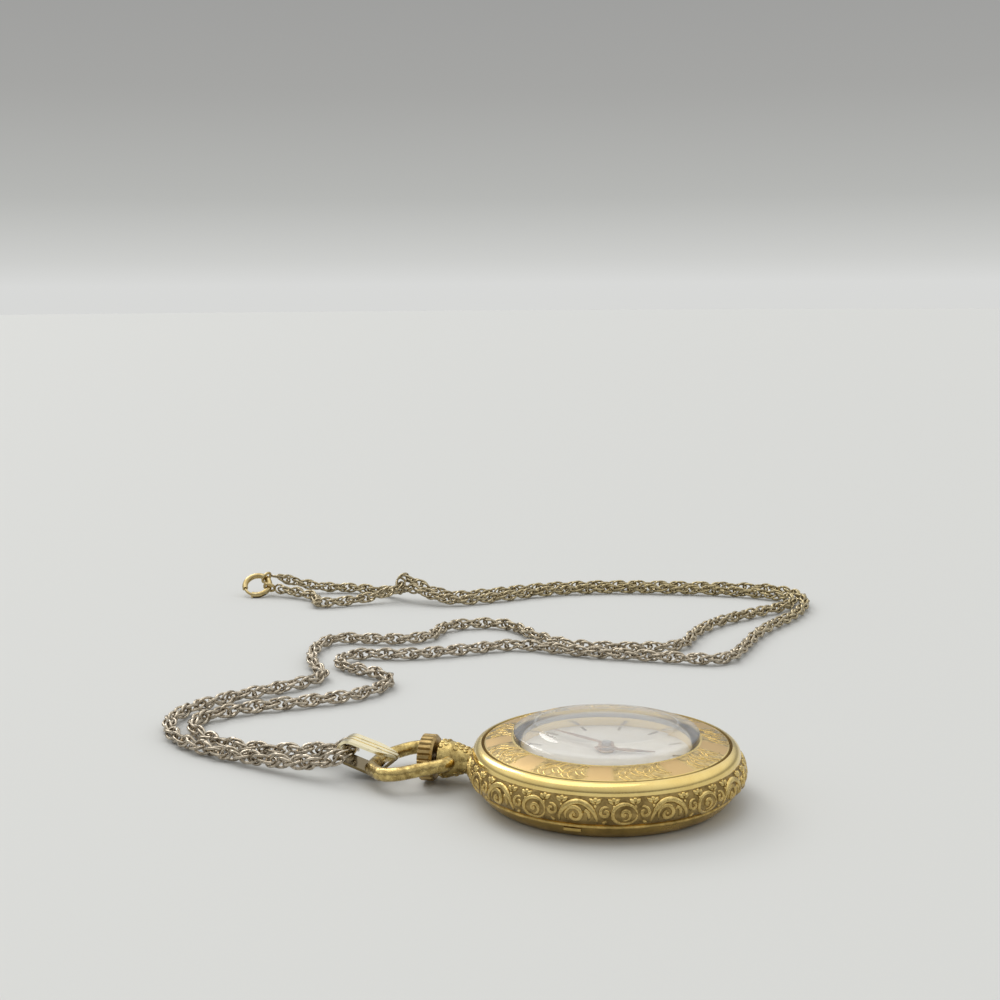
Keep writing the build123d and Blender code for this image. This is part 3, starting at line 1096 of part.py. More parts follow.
def bridge_plate(points, feet):
    """A bridge with straight parting edges: its flat part and the feet that stand on the main plate."""
    flat = plate_from(points, BRIDGE_TOP_Z, BRIDGE_LOW_Z) & post((0, 0), BRIDGE_RADIUS, BRIDGE_TOP_Z,
                                                                 BRIDGE_LOW_Z)
    flat -= post(BALANCE_PLACE, BALANCE_RADIUS + BALANCE_CUT_GAP, BRIDGE_TOP_Z - OVERRUN,
                 BRIDGE_LOW_Z + OVERRUN)
    flat -= block((-BRIDGE_NOTCH_HALF, WINDING_PINION_Y - RUNNING_GAP, BRIDGE_TOP_Z - OVERRUN),
                  (BRIDGE_NOTCH_HALF, MOVEMENT_RADIUS + OVERRUN, BRIDGE_LOW_Z + OVERRUN))
    for foot in feet:
        flat += post(foot, FOOT_RADIUS, BRIDGE_LOW_Z, PLATE_LOW_Z)
    for foot in feet:
        flat -= post(foot, SCREW_HEAD_RADIUS, BRIDGE_TOP_Z - OVERRUN, BRIDGE_TOP_Z + SCREW_HEAD_HEIGHT)
        flat -= post(foot, SCREW_SHANK_RADIUS, BRIDGE_TOP_Z, PLATE_LOW_Z + OVERRUN)
    return flat


def make_barrel_bridge():
    """The bridge over the barrel, which also carries the crown wheel."""
    edge = 2 * MOVEMENT_RADIUS
    split = BRIDGE_SPLIT_GAP / 2
    points = [
        (BRIDGE_SPLIT_CENTRE_X + split, BRIDGE_SPLIT_Y + split), (BRIDGE_CROWN_X, BRIDGE_SPLIT_Y + split),
        (BRIDGE_CROWN_X, edge), (edge, edge), (edge, -edge), (BRIDGE_SPLIT_X + split, -edge),
        (BRIDGE_SPLIT_X + split, BRIDGE_SPLIT_LOW_Y), (BRIDGE_SPLIT_CENTRE_X + split,
                                                       BRIDGE_SPLIT_LOW_Y + JEWEL_RADIUS),
    ]
    flat = bridge_plate(points, BARREL_BRIDGE_FEET)
    flat -= post(BARREL_PLACE, BARREL_ARBOR_RADIUS + RUNNING_GAP, BRIDGE_TOP_Z - OVERRUN,
                 BRIDGE_LOW_Z + OVERRUN)
    flat -= post(CROWN_WHEEL_PLACE, SCREW_SHANK_RADIUS, BRIDGE_TOP_Z - OVERRUN, BRIDGE_LOW_Z + OVERRUN)
    flat -= post(CLICK_PLACE, CLICK_SCREW_RADIUS, BRIDGE_TOP_Z - OVERRUN, BRIDGE_LOW_Z + OVERRUN)
    flat -= post(CLICK_SPRING_PLACE, CLICK_SPRING_POST_RADIUS, BRIDGE_TOP_Z - OVERRUN,
                 BRIDGE_LOW_Z + OVERRUN)
    return flat


def make_train_bridge():
    """The bridge over the centre, third, fourth and escape wheels."""
    edge = 2 * MOVEMENT_RADIUS
    split = BRIDGE_SPLIT_GAP / 2
    points = [
        (BRIDGE_SPLIT_CENTRE_X - split, BRIDGE_SPLIT_Y - split), (-edge, BRIDGE_SPLIT_Y - split), (-edge,
                                                                                                   -edge),
        (BRIDGE_SPLIT_X - split, -edge), (BRIDGE_SPLIT_X - split, BRIDGE_SPLIT_LOW_Y),
        (BRIDGE_SPLIT_CENTRE_X - split, BRIDGE_SPLIT_LOW_Y + JEWEL_RADIUS),
    ]
    flat = bridge_plate(points, TRAIN_BRIDGE_FEET)
    for place in (CENTRE_PLACE, THIRD_PLACE, FOURTH_PLACE, ESCAPE_PLACE):
        flat -= post(place, JEWEL_RADIUS, BRIDGE_LOW_Z - JEWEL_DEPTH, BRIDGE_LOW_Z + OVERRUN)
    return flat


def make_balance_cock():
    """The cock: one foot beside the balance and an arm over its upper pivot."""
    arm = bar_between(COCK_FOOT, BALANCE_PLACE, 2 * COCK_END_RADIUS, COCK_TOP_Z, COCK_LOW_Z)
    arm += post(COCK_FOOT, COCK_FOOT_RADIUS, COCK_LOW_Z, PLATE_LOW_Z)
    arm += post(stud_place(), 2 * STUD_RADIUS, COCK_TOP_Z, COCK_LOW_Z)
    arm += bar_between(BALANCE_PLACE, stud_place(), STUD_ARM_WIDTH, COCK_TOP_Z, COCK_LOW_Z)
    arm -= post(COCK_FOOT, SCREW_HEAD_RADIUS, COCK_TOP_Z - OVERRUN, COCK_TOP_Z + SCREW_HEAD_HEIGHT)
    arm -= post(COCK_FOOT, SCREW_SHANK_RADIUS, COCK_TOP_Z, PLATE_LOW_Z + OVERRUN)
    arm -= post(BALANCE_PLACE, JEWEL_RADIUS, COCK_LOW_Z - JEWEL_DEPTH, COCK_LOW_Z + OVERRUN)
    arm -= post(stud_place(), STUD_RADIUS, COCK_TOP_Z - OVERRUN, COCK_LOW_Z + OVERRUN)
    return arm


def make_bridge_screws():
    """The eight screws of the bridges and the cock."""
    screws = [
        slotted_screw(foot, SCREW_HEAD_RADIUS, BRIDGE_TOP_Z, SCREW_HEAD_HEIGHT, SCREW_SHANK_RADIUS,
                      SCREW_END_Z,
                      bearing((0, 0), foot))
        for foot in BARREL_BRIDGE_FEET + TRAIN_BRIDGE_FEET
    ]
    screws.append(slotted_screw(COCK_FOOT, SCREW_HEAD_RADIUS, COCK_TOP_Z, SCREW_HEAD_HEIGHT,
                                SCREW_SHANK_RADIUS,
                                SCREW_END_Z, bearing((0, 0), COCK_FOOT)))
    return Compound(children=screws)


def jewel(place, low):
    """A pressed-in bearing jewel."""
    return washer(place, PIVOT_HOLE_RADIUS, JEWEL_RADIUS, low, low + JEWEL_DEPTH)


def make_plate_jewels():
    """The jewels in the main plate."""
    places = (THIRD_PLACE, FOURTH_PLACE, ESCAPE_PLACE, FORK_PLACE, BALANCE_PLACE)
    return Compound(children=[jewel(place, PLATE_LOW_Z) for place in places])


def make_bridge_jewels():
    """The jewels in the train bridge."""
    places = (CENTRE_PLACE, THIRD_PLACE, FOURTH_PLACE, ESCAPE_PLACE)
    return Compound(children=[jewel(place, BRIDGE_LOW_Z - JEWEL_DEPTH) for place in places])


def make_cock_jewel():
    """The balance's upper jewel, in the cock."""
    return jewel(BALANCE_PLACE, COCK_LOW_Z - JEWEL_DEPTH)


def make_barrel_drum():
    """The barrel: floor, wall and the toothed rim that drives the centre pinion."""
    wall = washer(BARREL_PLACE, BARREL_WALL_RADIUS - BARREL_WALL, BARREL_WALL_RADIUS,
                  BARREL_COVER_Z + BARREL_COVER_THICKNESS, BARREL_TOP_Z)
    phase = bearing(BARREL_PLACE, CENTRE_PLACE)
    rim = gear(BARREL_PLACE, BARREL_TEETH, BARREL_MODULE, phase, BARREL_RIM_Z, BARREL_TOP_Z - BARREL_RIM_Z)
    rim -= post(BARREL_PLACE, BARREL_WALL_RADIUS - BARREL_WALL, BARREL_RIM_Z - OVERRUN,
                BARREL_TOP_Z - BARREL_FLOOR)
    return wall + rim - post(BARREL_PLACE, BARREL_ARBOR_BEARING_RADIUS, BARREL_RIM_Z, BARREL_TOP_Z + OVERRUN)


def make_barrel_cover():
    """The lid of the barrel."""
    return washer(BARREL_PLACE, BARREL_ARBOR_BEARING_RADIUS, BARREL_WALL_RADIUS, BARREL_COVER_Z,
                  BARREL_COVER_Z + BARREL_COVER_THICKNESS)


def make_barrel_arbor():
    """The barrel arbor: a hub for the mainspring and a shaft from the ratchet wheel to the main plate."""
    hub_low = BARREL_COVER_Z + BARREL_COVER_THICKNESS + RUNNING_GAP
    hub_top = BARREL_TOP_Z - BARREL_FLOOR - RUNNING_GAP
    shaft = post(BARREL_PLACE, BARREL_ARBOR_RADIUS, BARREL_ARBOR_TOP_Z, BARREL_ARBOR_END_Z)
    return shaft + post(BARREL_PLACE, BARREL_HUB_RADIUS, hub_low, hub_top)


def spiral_strip(place, inner, outer, turns, steps, strip, low, height, first=0):
    """A flat spiral strip standing on edge."""
    count = int(turns * steps)
    outside = []
    inside = []
    for number in range(count + 1):
        angle = first + 360 * number / steps
        radius = inner + (outer - inner) * number / count
        outside.append(polar(radius + strip / 2, angle))
        inside.append(polar(radius - strip / 2, angle))
    flat = plate_from(outside + inside[::-1], low, low + height)
    return Pos(place[0], place[1], 0) * flat


def make_mainspring():
    """The mainspring, coiled between the arbor's hub and the barrel's wall."""
    low = BARREL_COVER_Z + BARREL_COVER_THICKNESS + MAINSPRING_EDGE_GAP
    top = BARREL_TOP_Z - BARREL_FLOOR - MAINSPRING_EDGE_GAP
    inner = BARREL_HUB_RADIUS + MAINSPRING_EDGE_GAP + MAINSPRING_STRIP / 2
    outer = BARREL_WALL_RADIUS - BARREL_WALL - SEAT_GAP - MAINSPRING_STRIP / 2
    return spiral_strip(BARREL_PLACE, inner, outer, MAINSPRING_TURNS, MAINSPRING_STEPS, MAINSPRING_STRIP,
                        low, top - low)


def make_centre_wheel():
    """The centre wheel, its pinion and its long arbor, which carries the cannon pinion."""
    phase = bearing(CENTRE_PLACE, THIRD_PLACE)
    wheel = train_wheel(CENTRE_PLACE, CENTRE_TEETH, CENTRE_MODULE, phase, CENTRE_WHEEL_Z,
                        CENTRE_ARBOR_RADIUS)
    pinion_phase = bearing(CENTRE_PLACE, BARREL_PLACE) + 180 / CENTRE_PINION_LEAVES
    pinion = gear(CENTRE_PLACE, CENTRE_PINION_LEAVES, BARREL_MODULE, pinion_phase, CENTRE_PINION_Z,
                  CENTRE_PINION_END_Z - CENTRE_PINION_Z)
    arbor = post(CENTRE_PLACE, CENTRE_ARBOR_RADIUS, BRIDGE_LOW_Z + ARBOR_END_GAP, CENTRE_ARBOR_END_Z)
    pivot = post(CENTRE_PLACE, PIVOT_RADIUS, BRIDGE_LOW_Z - JEWEL_DEPTH + ARBOR_END_GAP, CENTRE_PINION_Z)
    return wheel + pinion + arbor + pivot


def make_third_wheel():
    """The third wheel and its pinion."""
    phase = bearing(THIRD_PLACE, FOURTH_PLACE)
    wheel = train_wheel(THIRD_PLACE, THIRD_TEETH, THIRD_MODULE, phase, THIRD_WHEEL_Z, ARBOR_RADIUS)
    pinion_phase = bearing(THIRD_PLACE, CENTRE_PLACE) + 180 / THIRD_PINION_LEAVES
    pinion = gear(THIRD_PLACE, THIRD_PINION_LEAVES, CENTRE_MODULE, pinion_phase, THIRD_PINION_Z,
                  THIRD_PINION_LENGTH)
    return wheel + pinion + train_arbor(THIRD_PLACE)


def make_fourth_wheel():
    """The fourth wheel, which turns once a minute, and its pinion."""
    phase = bearing(FOURTH_PLACE, ESCAPE_PLACE)
    wheel = train_wheel(FOURTH_PLACE, FOURTH_TEETH, FOURTH_MODULE, phase, FOURTH_WHEEL_Z, ARBOR_RADIUS)
    pinion_phase = bearing(FOURTH_PLACE, THIRD_PLACE) + 180 / FOURTH_PINION_LEAVES
    pinion = gear(FOURTH_PLACE, FOURTH_PINION_LEAVES, THIRD_MODULE, pinion_phase, FOURTH_PINION_Z,
                  FOURTH_PINION_LENGTH)
    return wheel + pinion + train_arbor(FOURTH_PLACE)


def make_escape_wheel():
    """The escape wheel with its hooked club teeth, and its pinion."""
    points = []
    step = 360 / ESCAPE_TEETH
    root = ESCAPE_RADIUS - ESCAPE_TOOTH_DEPTH
    first = bearing(ESCAPE_PLACE, FORK_PLACE) + step / 2
    for tooth in range(ESCAPE_TEETH):
        middle = first + tooth * step
        points.append(polar(root, middle - step * ESCAPE_HEEL_SHARE))
        points.append(polar(ESCAPE_RADIUS, middle + step * ESCAPE_TIP_START_SHARE))
        points.append(polar(ESCAPE_RADIUS, middle + step * ESCAPE_TIP_END_SHARE))
        points.append(polar(root, middle + step * ESCAPE_TOE_SHARE))
    wheel = plate_from(points, ESCAPE_WHEEL_Z, ESCAPE_WHEEL_Z + WHEEL_THICKNESS)
    wheel = Pos(ESCAPE_PLACE[0], ESCAPE_PLACE[1], 0) * wheel
    wheel -= spokes_cut(ESCAPE_PLACE, ARBOR_RADIUS + WHEEL_HUB_WALL, root - WHEEL_HUB_WALL / 2, WHEEL_SPOKES,
                        WHEEL_SPOKE_WIDTH / 2, ESCAPE_WHEEL_Z, WHEEL_THICKNESS)
    pinion_phase = bearing(ESCAPE_PLACE, FOURTH_PLACE) + 180 / ESCAPE_PINION_LEAVES
    pinion = gear(ESCAPE_PLACE, ESCAPE_PINION_LEAVES, FOURTH_MODULE, pinion_phase, ESCAPE_PINION_Z,
                  ESCAPE_PINION_LENGTH)
    return wheel + pinion + train_arbor(ESCAPE_PLACE)


def fork_line():
    """The bearing from the fork's arbor to the balance."""
    return bearing(FORK_PLACE, BALANCE_PLACE)


def make_pallet_fork():
    """The pallet fork: two arms with jewel stones, a lever with a slot, and its arbor."""
    top = FORK_Z + FORK_THICKNESS
    line = fork_line()
    tip = (FORK_PLACE[0] + polar(FORK_REACH, line)[0], FORK_PLACE[1] + polar(FORK_REACH, line)[1])
    body = post(FORK_PLACE, FORK_HUB_RADIUS, FORK_Z, top) + bar_between(FORK_PLACE, tip, FORK_ARM_WIDTH,
                                                                        FORK_Z, top)
    head = Pos(tip[0], tip[1], FORK_Z) * Rot(0, 0, line) * Box(
        FORK_HORN_LENGTH, FORK_HORN_WIDTH, FORK_THICKNESS, align=(Align.CENTER, Align.CENTER, Align.MIN)
    )
    slot = Pos(tip[0], tip[1], FORK_Z) * Rot(0, 0, line) * Box(
        FORK_HORN_LENGTH, FORK_SLOT_WIDTH, 2 * OVERRUN, align=(Align.MIN, Align.CENTER, Align.CENTER)
    )
    body += head
    body -= slot
    stone_radius = ESCAPE_RADIUS + FORK_STONE_RADIUS + FORK_STONE_GAP
    for side in (-1, 1):
        angle = bearing(ESCAPE_PLACE, FORK_PLACE) + side * FORK_STONE_ANGLE
        place = (ESCAPE_PLACE[0] + polar(stone_radius, angle)[0], ESCAPE_PLACE[1] + polar(stone_radius,
                                                                                          angle)[1])
        body += bar_between(FORK_PLACE, place, FORK_STONE_RADIUS * 2, FORK_Z, top)
    low = PALLET_BRIDGE_Z + PALLET_BRIDGE_THICKNESS + ARBOR_END_GAP / 2
    body += post(FORK_PLACE, ARBOR_RADIUS, low, PLATE_LOW_Z - ARBOR_END_GAP)
    return body + post(FORK_PLACE, PIVOT_RADIUS, PALLET_BRIDGE_Z + ARBOR_END_GAP / 2,
                       PLATE_LOW_Z + JEWEL_DEPTH - ARBOR_END_GAP)


def make_pallet_bridge():
    """The small bridge over the pallet fork's arbor."""
    first, second = PALLET_FEET
    low = PALLET_BRIDGE_Z
    top = low + PALLET_BRIDGE_THICKNESS
    bar = bar_between(first, FORK_PLACE, PALLET_BRIDGE_WIDTH, low, top)
    bar += bar_between(FORK_PLACE, second, PALLET_BRIDGE_WIDTH, low, top)
    for foot in PALLET_FEET:
        bar += post(foot, PALLET_FOOT_RADIUS, low, PLATE_LOW_Z)
    return bar - post(FORK_PLACE, PIVOT_HOLE_RADIUS, low - OVERRUN, top + BITE)


def make_balance_wheel():
    """The balance: rim, two arms, hub and rim screws."""
    top = BALANCE_Z + BALANCE_THICKNESS
    rim = washer(BALANCE_PLACE, BALANCE_RADIUS - BALANCE_RIM, BALANCE_RADIUS, BALANCE_Z, top)
    arm = Pos(BALANCE_PLACE[0], BALANCE_PLACE[1], BALANCE_Z) * Rot(0, 0, fork_line()) * Box(
        2 * BALANCE_RADIUS - BALANCE_RIM, BALANCE_ARM_WIDTH, BALANCE_THICKNESS / 2,
        align=(Align.CENTER, Align.CENTER, Align.MIN),
    )
    wheel = rim + arm + post(BALANCE_PLACE, BALANCE_HUB_RADIUS, BALANCE_Z, top)
    for number in range(BALANCE_SCREWS):
        angle = 360 * (number + BALANCE_SCREW_SHIFT) / BALANCE_SCREWS
        screw = Rot(0, 90, 0) * Cylinder(BALANCE_SCREW_RADIUS, 2 * BALANCE_SCREW_LENGTH)
        screw = Rot(0, 0, angle) * Pos(BALANCE_RADIUS, 0, 0) * screw
        wheel += Pos(BALANCE_PLACE[0], BALANCE_PLACE[1], BALANCE_Z + BALANCE_THICKNESS / 2) * screw
    return wheel - post(BALANCE_PLACE, BALANCE_STAFF_RADIUS, BALANCE_Z - OVERRUN, top + OVERRUN)


def make_balance_staff():
    """The balance staff, the collet, and the roller with its impulse pin."""
    staff = post(BALANCE_PLACE, BALANCE_STAFF_RADIUS, COCK_LOW_Z + ARBOR_END_GAP,
                 PLATE_LOW_Z - ARBOR_END_GAP)
    staff += post(BALANCE_PLACE, PIVOT_RADIUS, COCK_LOW_Z - JEWEL_DEPTH + ARBOR_END_GAP,
                  PLATE_LOW_Z + JEWEL_DEPTH - ARBOR_END_GAP)
    roller_low = BALANCE_Z + BALANCE_THICKNESS + RUNNING_GAP
    staff += post(BALANCE_PLACE, ROLLER_RADIUS, roller_low, roller_low + ROLLER_THICKNESS)
    toward = bearing(BALANCE_PLACE, FORK_PLACE)
    reach = polar(IMPULSE_PIN_PLACE_RADIUS, toward)
    pin_place = (BALANCE_PLACE[0] + reach[0], BALANCE_PLACE[1] + reach[1])
    staff += bar_between(BALANCE_PLACE, pin_place, 2 * IMPULSE_PIN_RADIUS, roller_low,
                         roller_low + ROLLER_THICKNESS)
    return staff + post(pin_place, IMPULSE_PIN_RADIUS, roller_low, FORK_Z + FORK_THICKNESS)


def stud_place():
    """Where the hairspring's outer end is pinned, under the cock."""
    reach = polar(HAIRSPRING_OUTER_RADIUS, bearing(BALANCE_PLACE, COCK_FOOT) + REGULATOR_ANGLE)
    return (BALANCE_PLACE[0] + reach[0], BALANCE_PLACE[1] + reach[1])


def make_hairspring():
    """The hairspring: a fine flat spiral from beside the staff out to the stud."""
    last = bearing(BALANCE_PLACE, stud_place())
    return spiral_strip(BALANCE_PLACE, HAIRSPRING_INNER_RADIUS, HAIRSPRING_OUTER_RADIUS, HAIRSPRING_TURNS,
                        HAIRSPRING_STEPS, HAIRSPRING_STRIP, HAIRSPRING_Z, HAIRSPRING_HEIGHT, last)


def make_hairspring_stud():
    """The stud that holds the hairspring's outer end under the cock."""
    pillar = post(stud_place(), STUD_RADIUS, COCK_TOP_Z, HAIRSPRING_Z + HAIRSPRING_HEIGHT + RUNNING_GAP)
    return pillar - make_hairspring()


def make_regulator():
    """The regulator: a ring round the balance jewel on the cock, with a pointer."""
    low = COCK_TOP_Z - REGULATOR_THICKNESS
    ring = washer(BALANCE_PLACE, REGULATOR_RING_RADIUS - REGULATOR_RING_WALL, REGULATOR_RING_RADIUS, low,
                  COCK_TOP_Z)
    out = bearing(COCK_FOOT, BALANCE_PLACE)
    inner = polar(REGULATOR_RING_RADIUS, out)
    outer = polar(REGULATOR_LENGTH, out)
    start = (BALANCE_PLACE[0] + inner[0], BALANCE_PLACE[1] + inner[1])
    end = (BALANCE_PLACE[0] + outer[0], BALANCE_PLACE[1] + outer[1])
    pointer = bar_between(start, end, REGULATOR_TIP_WIDTH, low, COCK_TOP_Z)
    return ring + pointer


def winding_centre(teeth):
    """The pitch radius of one wheel of the winding work."""
    return pitch_radius_of(teeth, WINDING_MODULE)


def make_crown_wheel():
    """The crown wheel, driven by the winding pinion."""
    phase = bearing(CROWN_WHEEL_PLACE, BARREL_PLACE)
    wheel = gear(CROWN_WHEEL_PLACE, CROWN_WHEEL_TEETH, WINDING_MODULE, phase, RATCHET_Z, RATCHET_THICKNESS)
    return wheel - post(CROWN_WHEEL_PLACE, WINDING_HUB_RADIUS, RATCHET_Z - OVERRUN, RATCHET_Z + OVERRUN)


def make_crown_wheel_ring():
    """The fixed collar that the crown wheel turns on, with its screw."""
    collar = post(CROWN_WHEEL_PLACE, WINDING_HUB_RADIUS - RUNNING_GAP, RATCHET_Z, BRIDGE_TOP_Z)
    screw = slotted_screw(CROWN_WHEEL_PLACE, CROWN_WHEEL_SCREW_HEAD_RADIUS,
                          RATCHET_Z - CROWN_WHEEL_SCREW_HEAD_HEIGHT - RUNNING_GAP,
                          CROWN_WHEEL_SCREW_HEAD_HEIGHT, SCREW_SHANK_RADIUS, BRIDGE_LOW_Z)
    return collar + screw


def make_ratchet_wheel():
    """The ratchet wheel on the barrel arbor."""
    phase = bearing(BARREL_PLACE, CROWN_WHEEL_PLACE) + 180 / RATCHET_TEETH
    wheel = gear(BARREL_PLACE, RATCHET_TEETH, WINDING_MODULE, phase, RATCHET_Z, RATCHET_THICKNESS)
    return wheel - post(BARREL_PLACE, BARREL_ARBOR_RADIUS, RATCHET_Z - OVERRUN, RATCHET_Z + OVERRUN)


def make_click():
    """The click: a pawl beside the ratchet wheel, on its screw."""
    top = RATCHET_Z + RATCHET_THICKNESS
    tip_radius = winding_centre(RATCHET_TEETH) + WINDING_MODULE * TOOTH_TIP_SHARE + CLICK_TIP_GAP
    toward = bearing(BARREL_PLACE, CLICK_PLACE) - CLICK_LEAN
    reach = polar(tip_radius + CLICK_TIP_WIDTH, toward)
    tip = (BARREL_PLACE[0] + reach[0], BARREL_PLACE[1] + reach[1])
    body = post(CLICK_PLACE, CLICK_HUB_RADIUS, RATCHET_Z, top)
    body += bar_between(CLICK_PLACE, tip, 2 * CLICK_TIP_WIDTH, RATCHET_Z, top)
    body -= post(BARREL_PLACE, tip_radius, RATCHET_Z - OVERRUN, top + OVERRUN)
    return body - post(CLICK_PLACE, CLICK_SCREW_RADIUS + RUNNING_GAP, RATCHET_Z - OVERRUN, top + OVERRUN)


def make_click_screw():
    """The shouldered screw that the click turns on."""
    return slotted_screw(CLICK_PLACE, CLICK_HUB_RADIUS, RATCHET_Z - CROWN_WHEEL_SCREW_HEAD_HEIGHT - SEAT_GAP,
                         CROWN_WHEEL_SCREW_HEAD_HEIGHT, CLICK_SCREW_RADIUS, BRIDGE_LOW_Z)


def make_click_spring():
    """The wire spring that presses on the click, from its post on the bridge."""
    middle = RATCHET_Z + RATCHET_THICKNESS / 2
    pillar = post(CLICK_SPRING_PLACE, CLICK_SPRING_POST_RADIUS, RATCHET_Z, BRIDGE_LOW_Z)
    out = polar(CLICK_HUB_RADIUS + CLICK_SPRING_WIRE / 2 + RUNNING_GAP, bearing(BARREL_PLACE, CLICK_PLACE))
    end = (CLICK_PLACE[0] + out[0], CLICK_PLACE[1] + out[1])
    low = middle - CLICK_SPRING_WIRE / 2
    return pillar + bar_between(CLICK_SPRING_PLACE, end, CLICK_SPRING_WIRE, low, low + CLICK_SPRING_WIRE)


def make_winding_pinion():
    """The winding pinion, which turns with the stem and drives the crown wheel."""
    flat = plate_from(tooth_points(WINDING_PINION_TEETH, WINDING_MODULE, 90), 0, WINDING_PINION_LENGTH)
    bore = Cylinder(STEM_RADIUS + SEAT_GAP, 4 * WINDING_PINION_LENGTH)
    return Pos(0, WINDING_PINION_Y, STEM_Z) * Rot(-90, 0, 0) * (flat - bore)


def make_clutch():
    """The sliding clutch on the stem's square, with a groove for the yoke and a toothed inner face."""
    body = rod_along_y(CLUTCH_RADIUS, CLUTCH_START_Y, CLUTCH_END_Y)
    groove_start = CLUTCH_GROOVE_Y - CLUTCH_GROOVE_WIDTH / 2
    groove_end = groove_start + CLUTCH_GROOVE_WIDTH
    body -= (rod_along_y(CLUTCH_RADIUS + OVERRUN, groove_start, groove_end)
             - rod_along_y(CLUTCH_GROOVE_RADIUS, groove_start, groove_end))
    notch = Box(CLUTCH_RADIUS + OVERRUN, 2 * CLUTCH_FACE_DEPTH, CLUTCH_FACE_DEPTH,
                align=(Align.MIN, Align.CENTER, Align.CENTER))
    for number in range(CLUTCH_FACE_TEETH):
        turn = Pos(0, CLUTCH_START_Y, STEM_Z) * Rot(0, 360 * number / CLUTCH_FACE_TEETH, 0)
        body -= turn * Pos(STEM_SQUARE_SIDE, 0, 0) * notch
    half = STEM_SQUARE_SIDE / 2 + SEAT_GAP
    return body - block((-half, CLUTCH_START_Y - OVERRUN, STEM_Z - half), (half, CLUTCH_END_Y + OVERRUN,
                                                                           STEM_Z + half))


def make_setting_lever():
    """The setting lever: its pin stands in the stem's groove."""
    low = MOTION_LOW_Z
    pin = (0, STEM_GROOVE_Y)
    body = bar_between(LEVER_PLACE, pin, LEVER_ARM_WIDTH, low, low + LEVER_THICKNESS)
    body += post(LEVER_PLACE, LEVER_HUB_RADIUS, low, low + LEVER_THICKNESS)
    body += post(pin, LEVER_PIN_RADIUS, LEVER_PIN_LOW_Z, low)
    return body - post(LEVER_PLACE, MOTION_POST_RADIUS + RUNNING_GAP, low - OVERRUN, low + OVERRUN)


def make_yoke():
    """The yoke: its pin stands in the clutch's groove and slides the clutch."""
    low = MOTION_LOW_Z
    pin = (YOKE_PIN_X, CLUTCH_GROOVE_Y)
    body = bar_between(YOKE_PLACE, pin, YOKE_ARM_WIDTH, low, low + LEVER_THICKNESS)
    body += post(YOKE_PLACE, YOKE_HUB_RADIUS, low, low + LEVER_THICKNESS)
    body += post(pin, YOKE_PIN_RADIUS, YOKE_PIN_LOW_Z, low)
    return body - post(YOKE_PLACE, MOTION_POST_RADIUS + RUNNING_GAP, low - OVERRUN, low + OVERRUN)


def make_dial_washer():
    """The thin washer between the hour wheel and the dial."""
    return washer((0, 0), HOUR_PIPE_RADIUS + RUNNING_GAP, DIAL_WASHER_RADIUS, DIAL_WASHER_Z,
                  DIAL_WASHER_Z + DIAL_WASHER_THICKNESS)


def make_movement_ring():
    """The spacer ring that centres the movement in the case."""
    ring = washer((0, 0), MOVEMENT_RADIUS + RUNNING_GAP, RING_RADIUS, RING_LOW_Z, DIAL_LOW_Z)
    ring += washer((0, 0), RING_RADIUS - BITE, RING_FLANGE_RADIUS, RING_FLANGE_LOW_Z, RING_FLANGE_TOP_Z)
    ring -= post((0, 0), PLATE_FLANGE_RADIUS + SEAT_GAP, PLATE_TOP_Z - PLATE_FLANGE_THICKNESS,
                 DIAL_LOW_Z + OVERRUN)
    ring -= rod_along_y(NECK_BORE_RADIUS, MOVEMENT_RADIUS - OVERRUN, BAND_BORE_RADIUS + OVERRUN)
    for angle in CLAMP_ANGLES:
        ring -= post(polar(CLAMP_SCREW_PLACE_RADIUS, angle), CLAMP_SCREW_SHANK_RADIUS, RING_LOW_Z - OVERRUN,
                     RING_LOW_Z + CLAMP_SCREW_LENGTH)
    return ring


def make_clamps():
    """The three clamps that hold the movement in its ring."""
    group = []
    for angle in CLAMP_ANGLES:
        tab = Pos(CLAMP_START_RADIUS, 0, RING_LOW_Z - CLAMP_THICKNESS) * Box(
            CLAMP_LENGTH, CLAMP_WIDTH, CLAMP_THICKNESS, align=(Align.MIN, Align.CENTER, Align.MIN)
        )
        tab -= post((CLAMP_SCREW_PLACE_RADIUS, 0), CLAMP_SCREW_SHANK_RADIUS, RING_LOW_Z - OVERRUN,
                    RING_LOW_Z + OVERRUN)
        group.append(Rot(0, 0, angle) * tab)
    return Compound(children=group)


def make_clamp_screws():
    """The screws of the three clamps."""
    head_low = RING_LOW_Z - CLAMP_THICKNESS - CLAMP_SCREW_HEAD_HEIGHT
    return Compound(children=[
        slotted_screw(polar(CLAMP_SCREW_PLACE_RADIUS, angle), CLAMP_SCREW_HEAD_RADIUS, head_low,
                      CLAMP_SCREW_HEAD_HEIGHT, CLAMP_SCREW_SHANK_RADIUS, RING_LOW_Z + CLAMP_SCREW_LENGTH,
                      angle)
        for angle in CLAMP_ANGLES
    ])


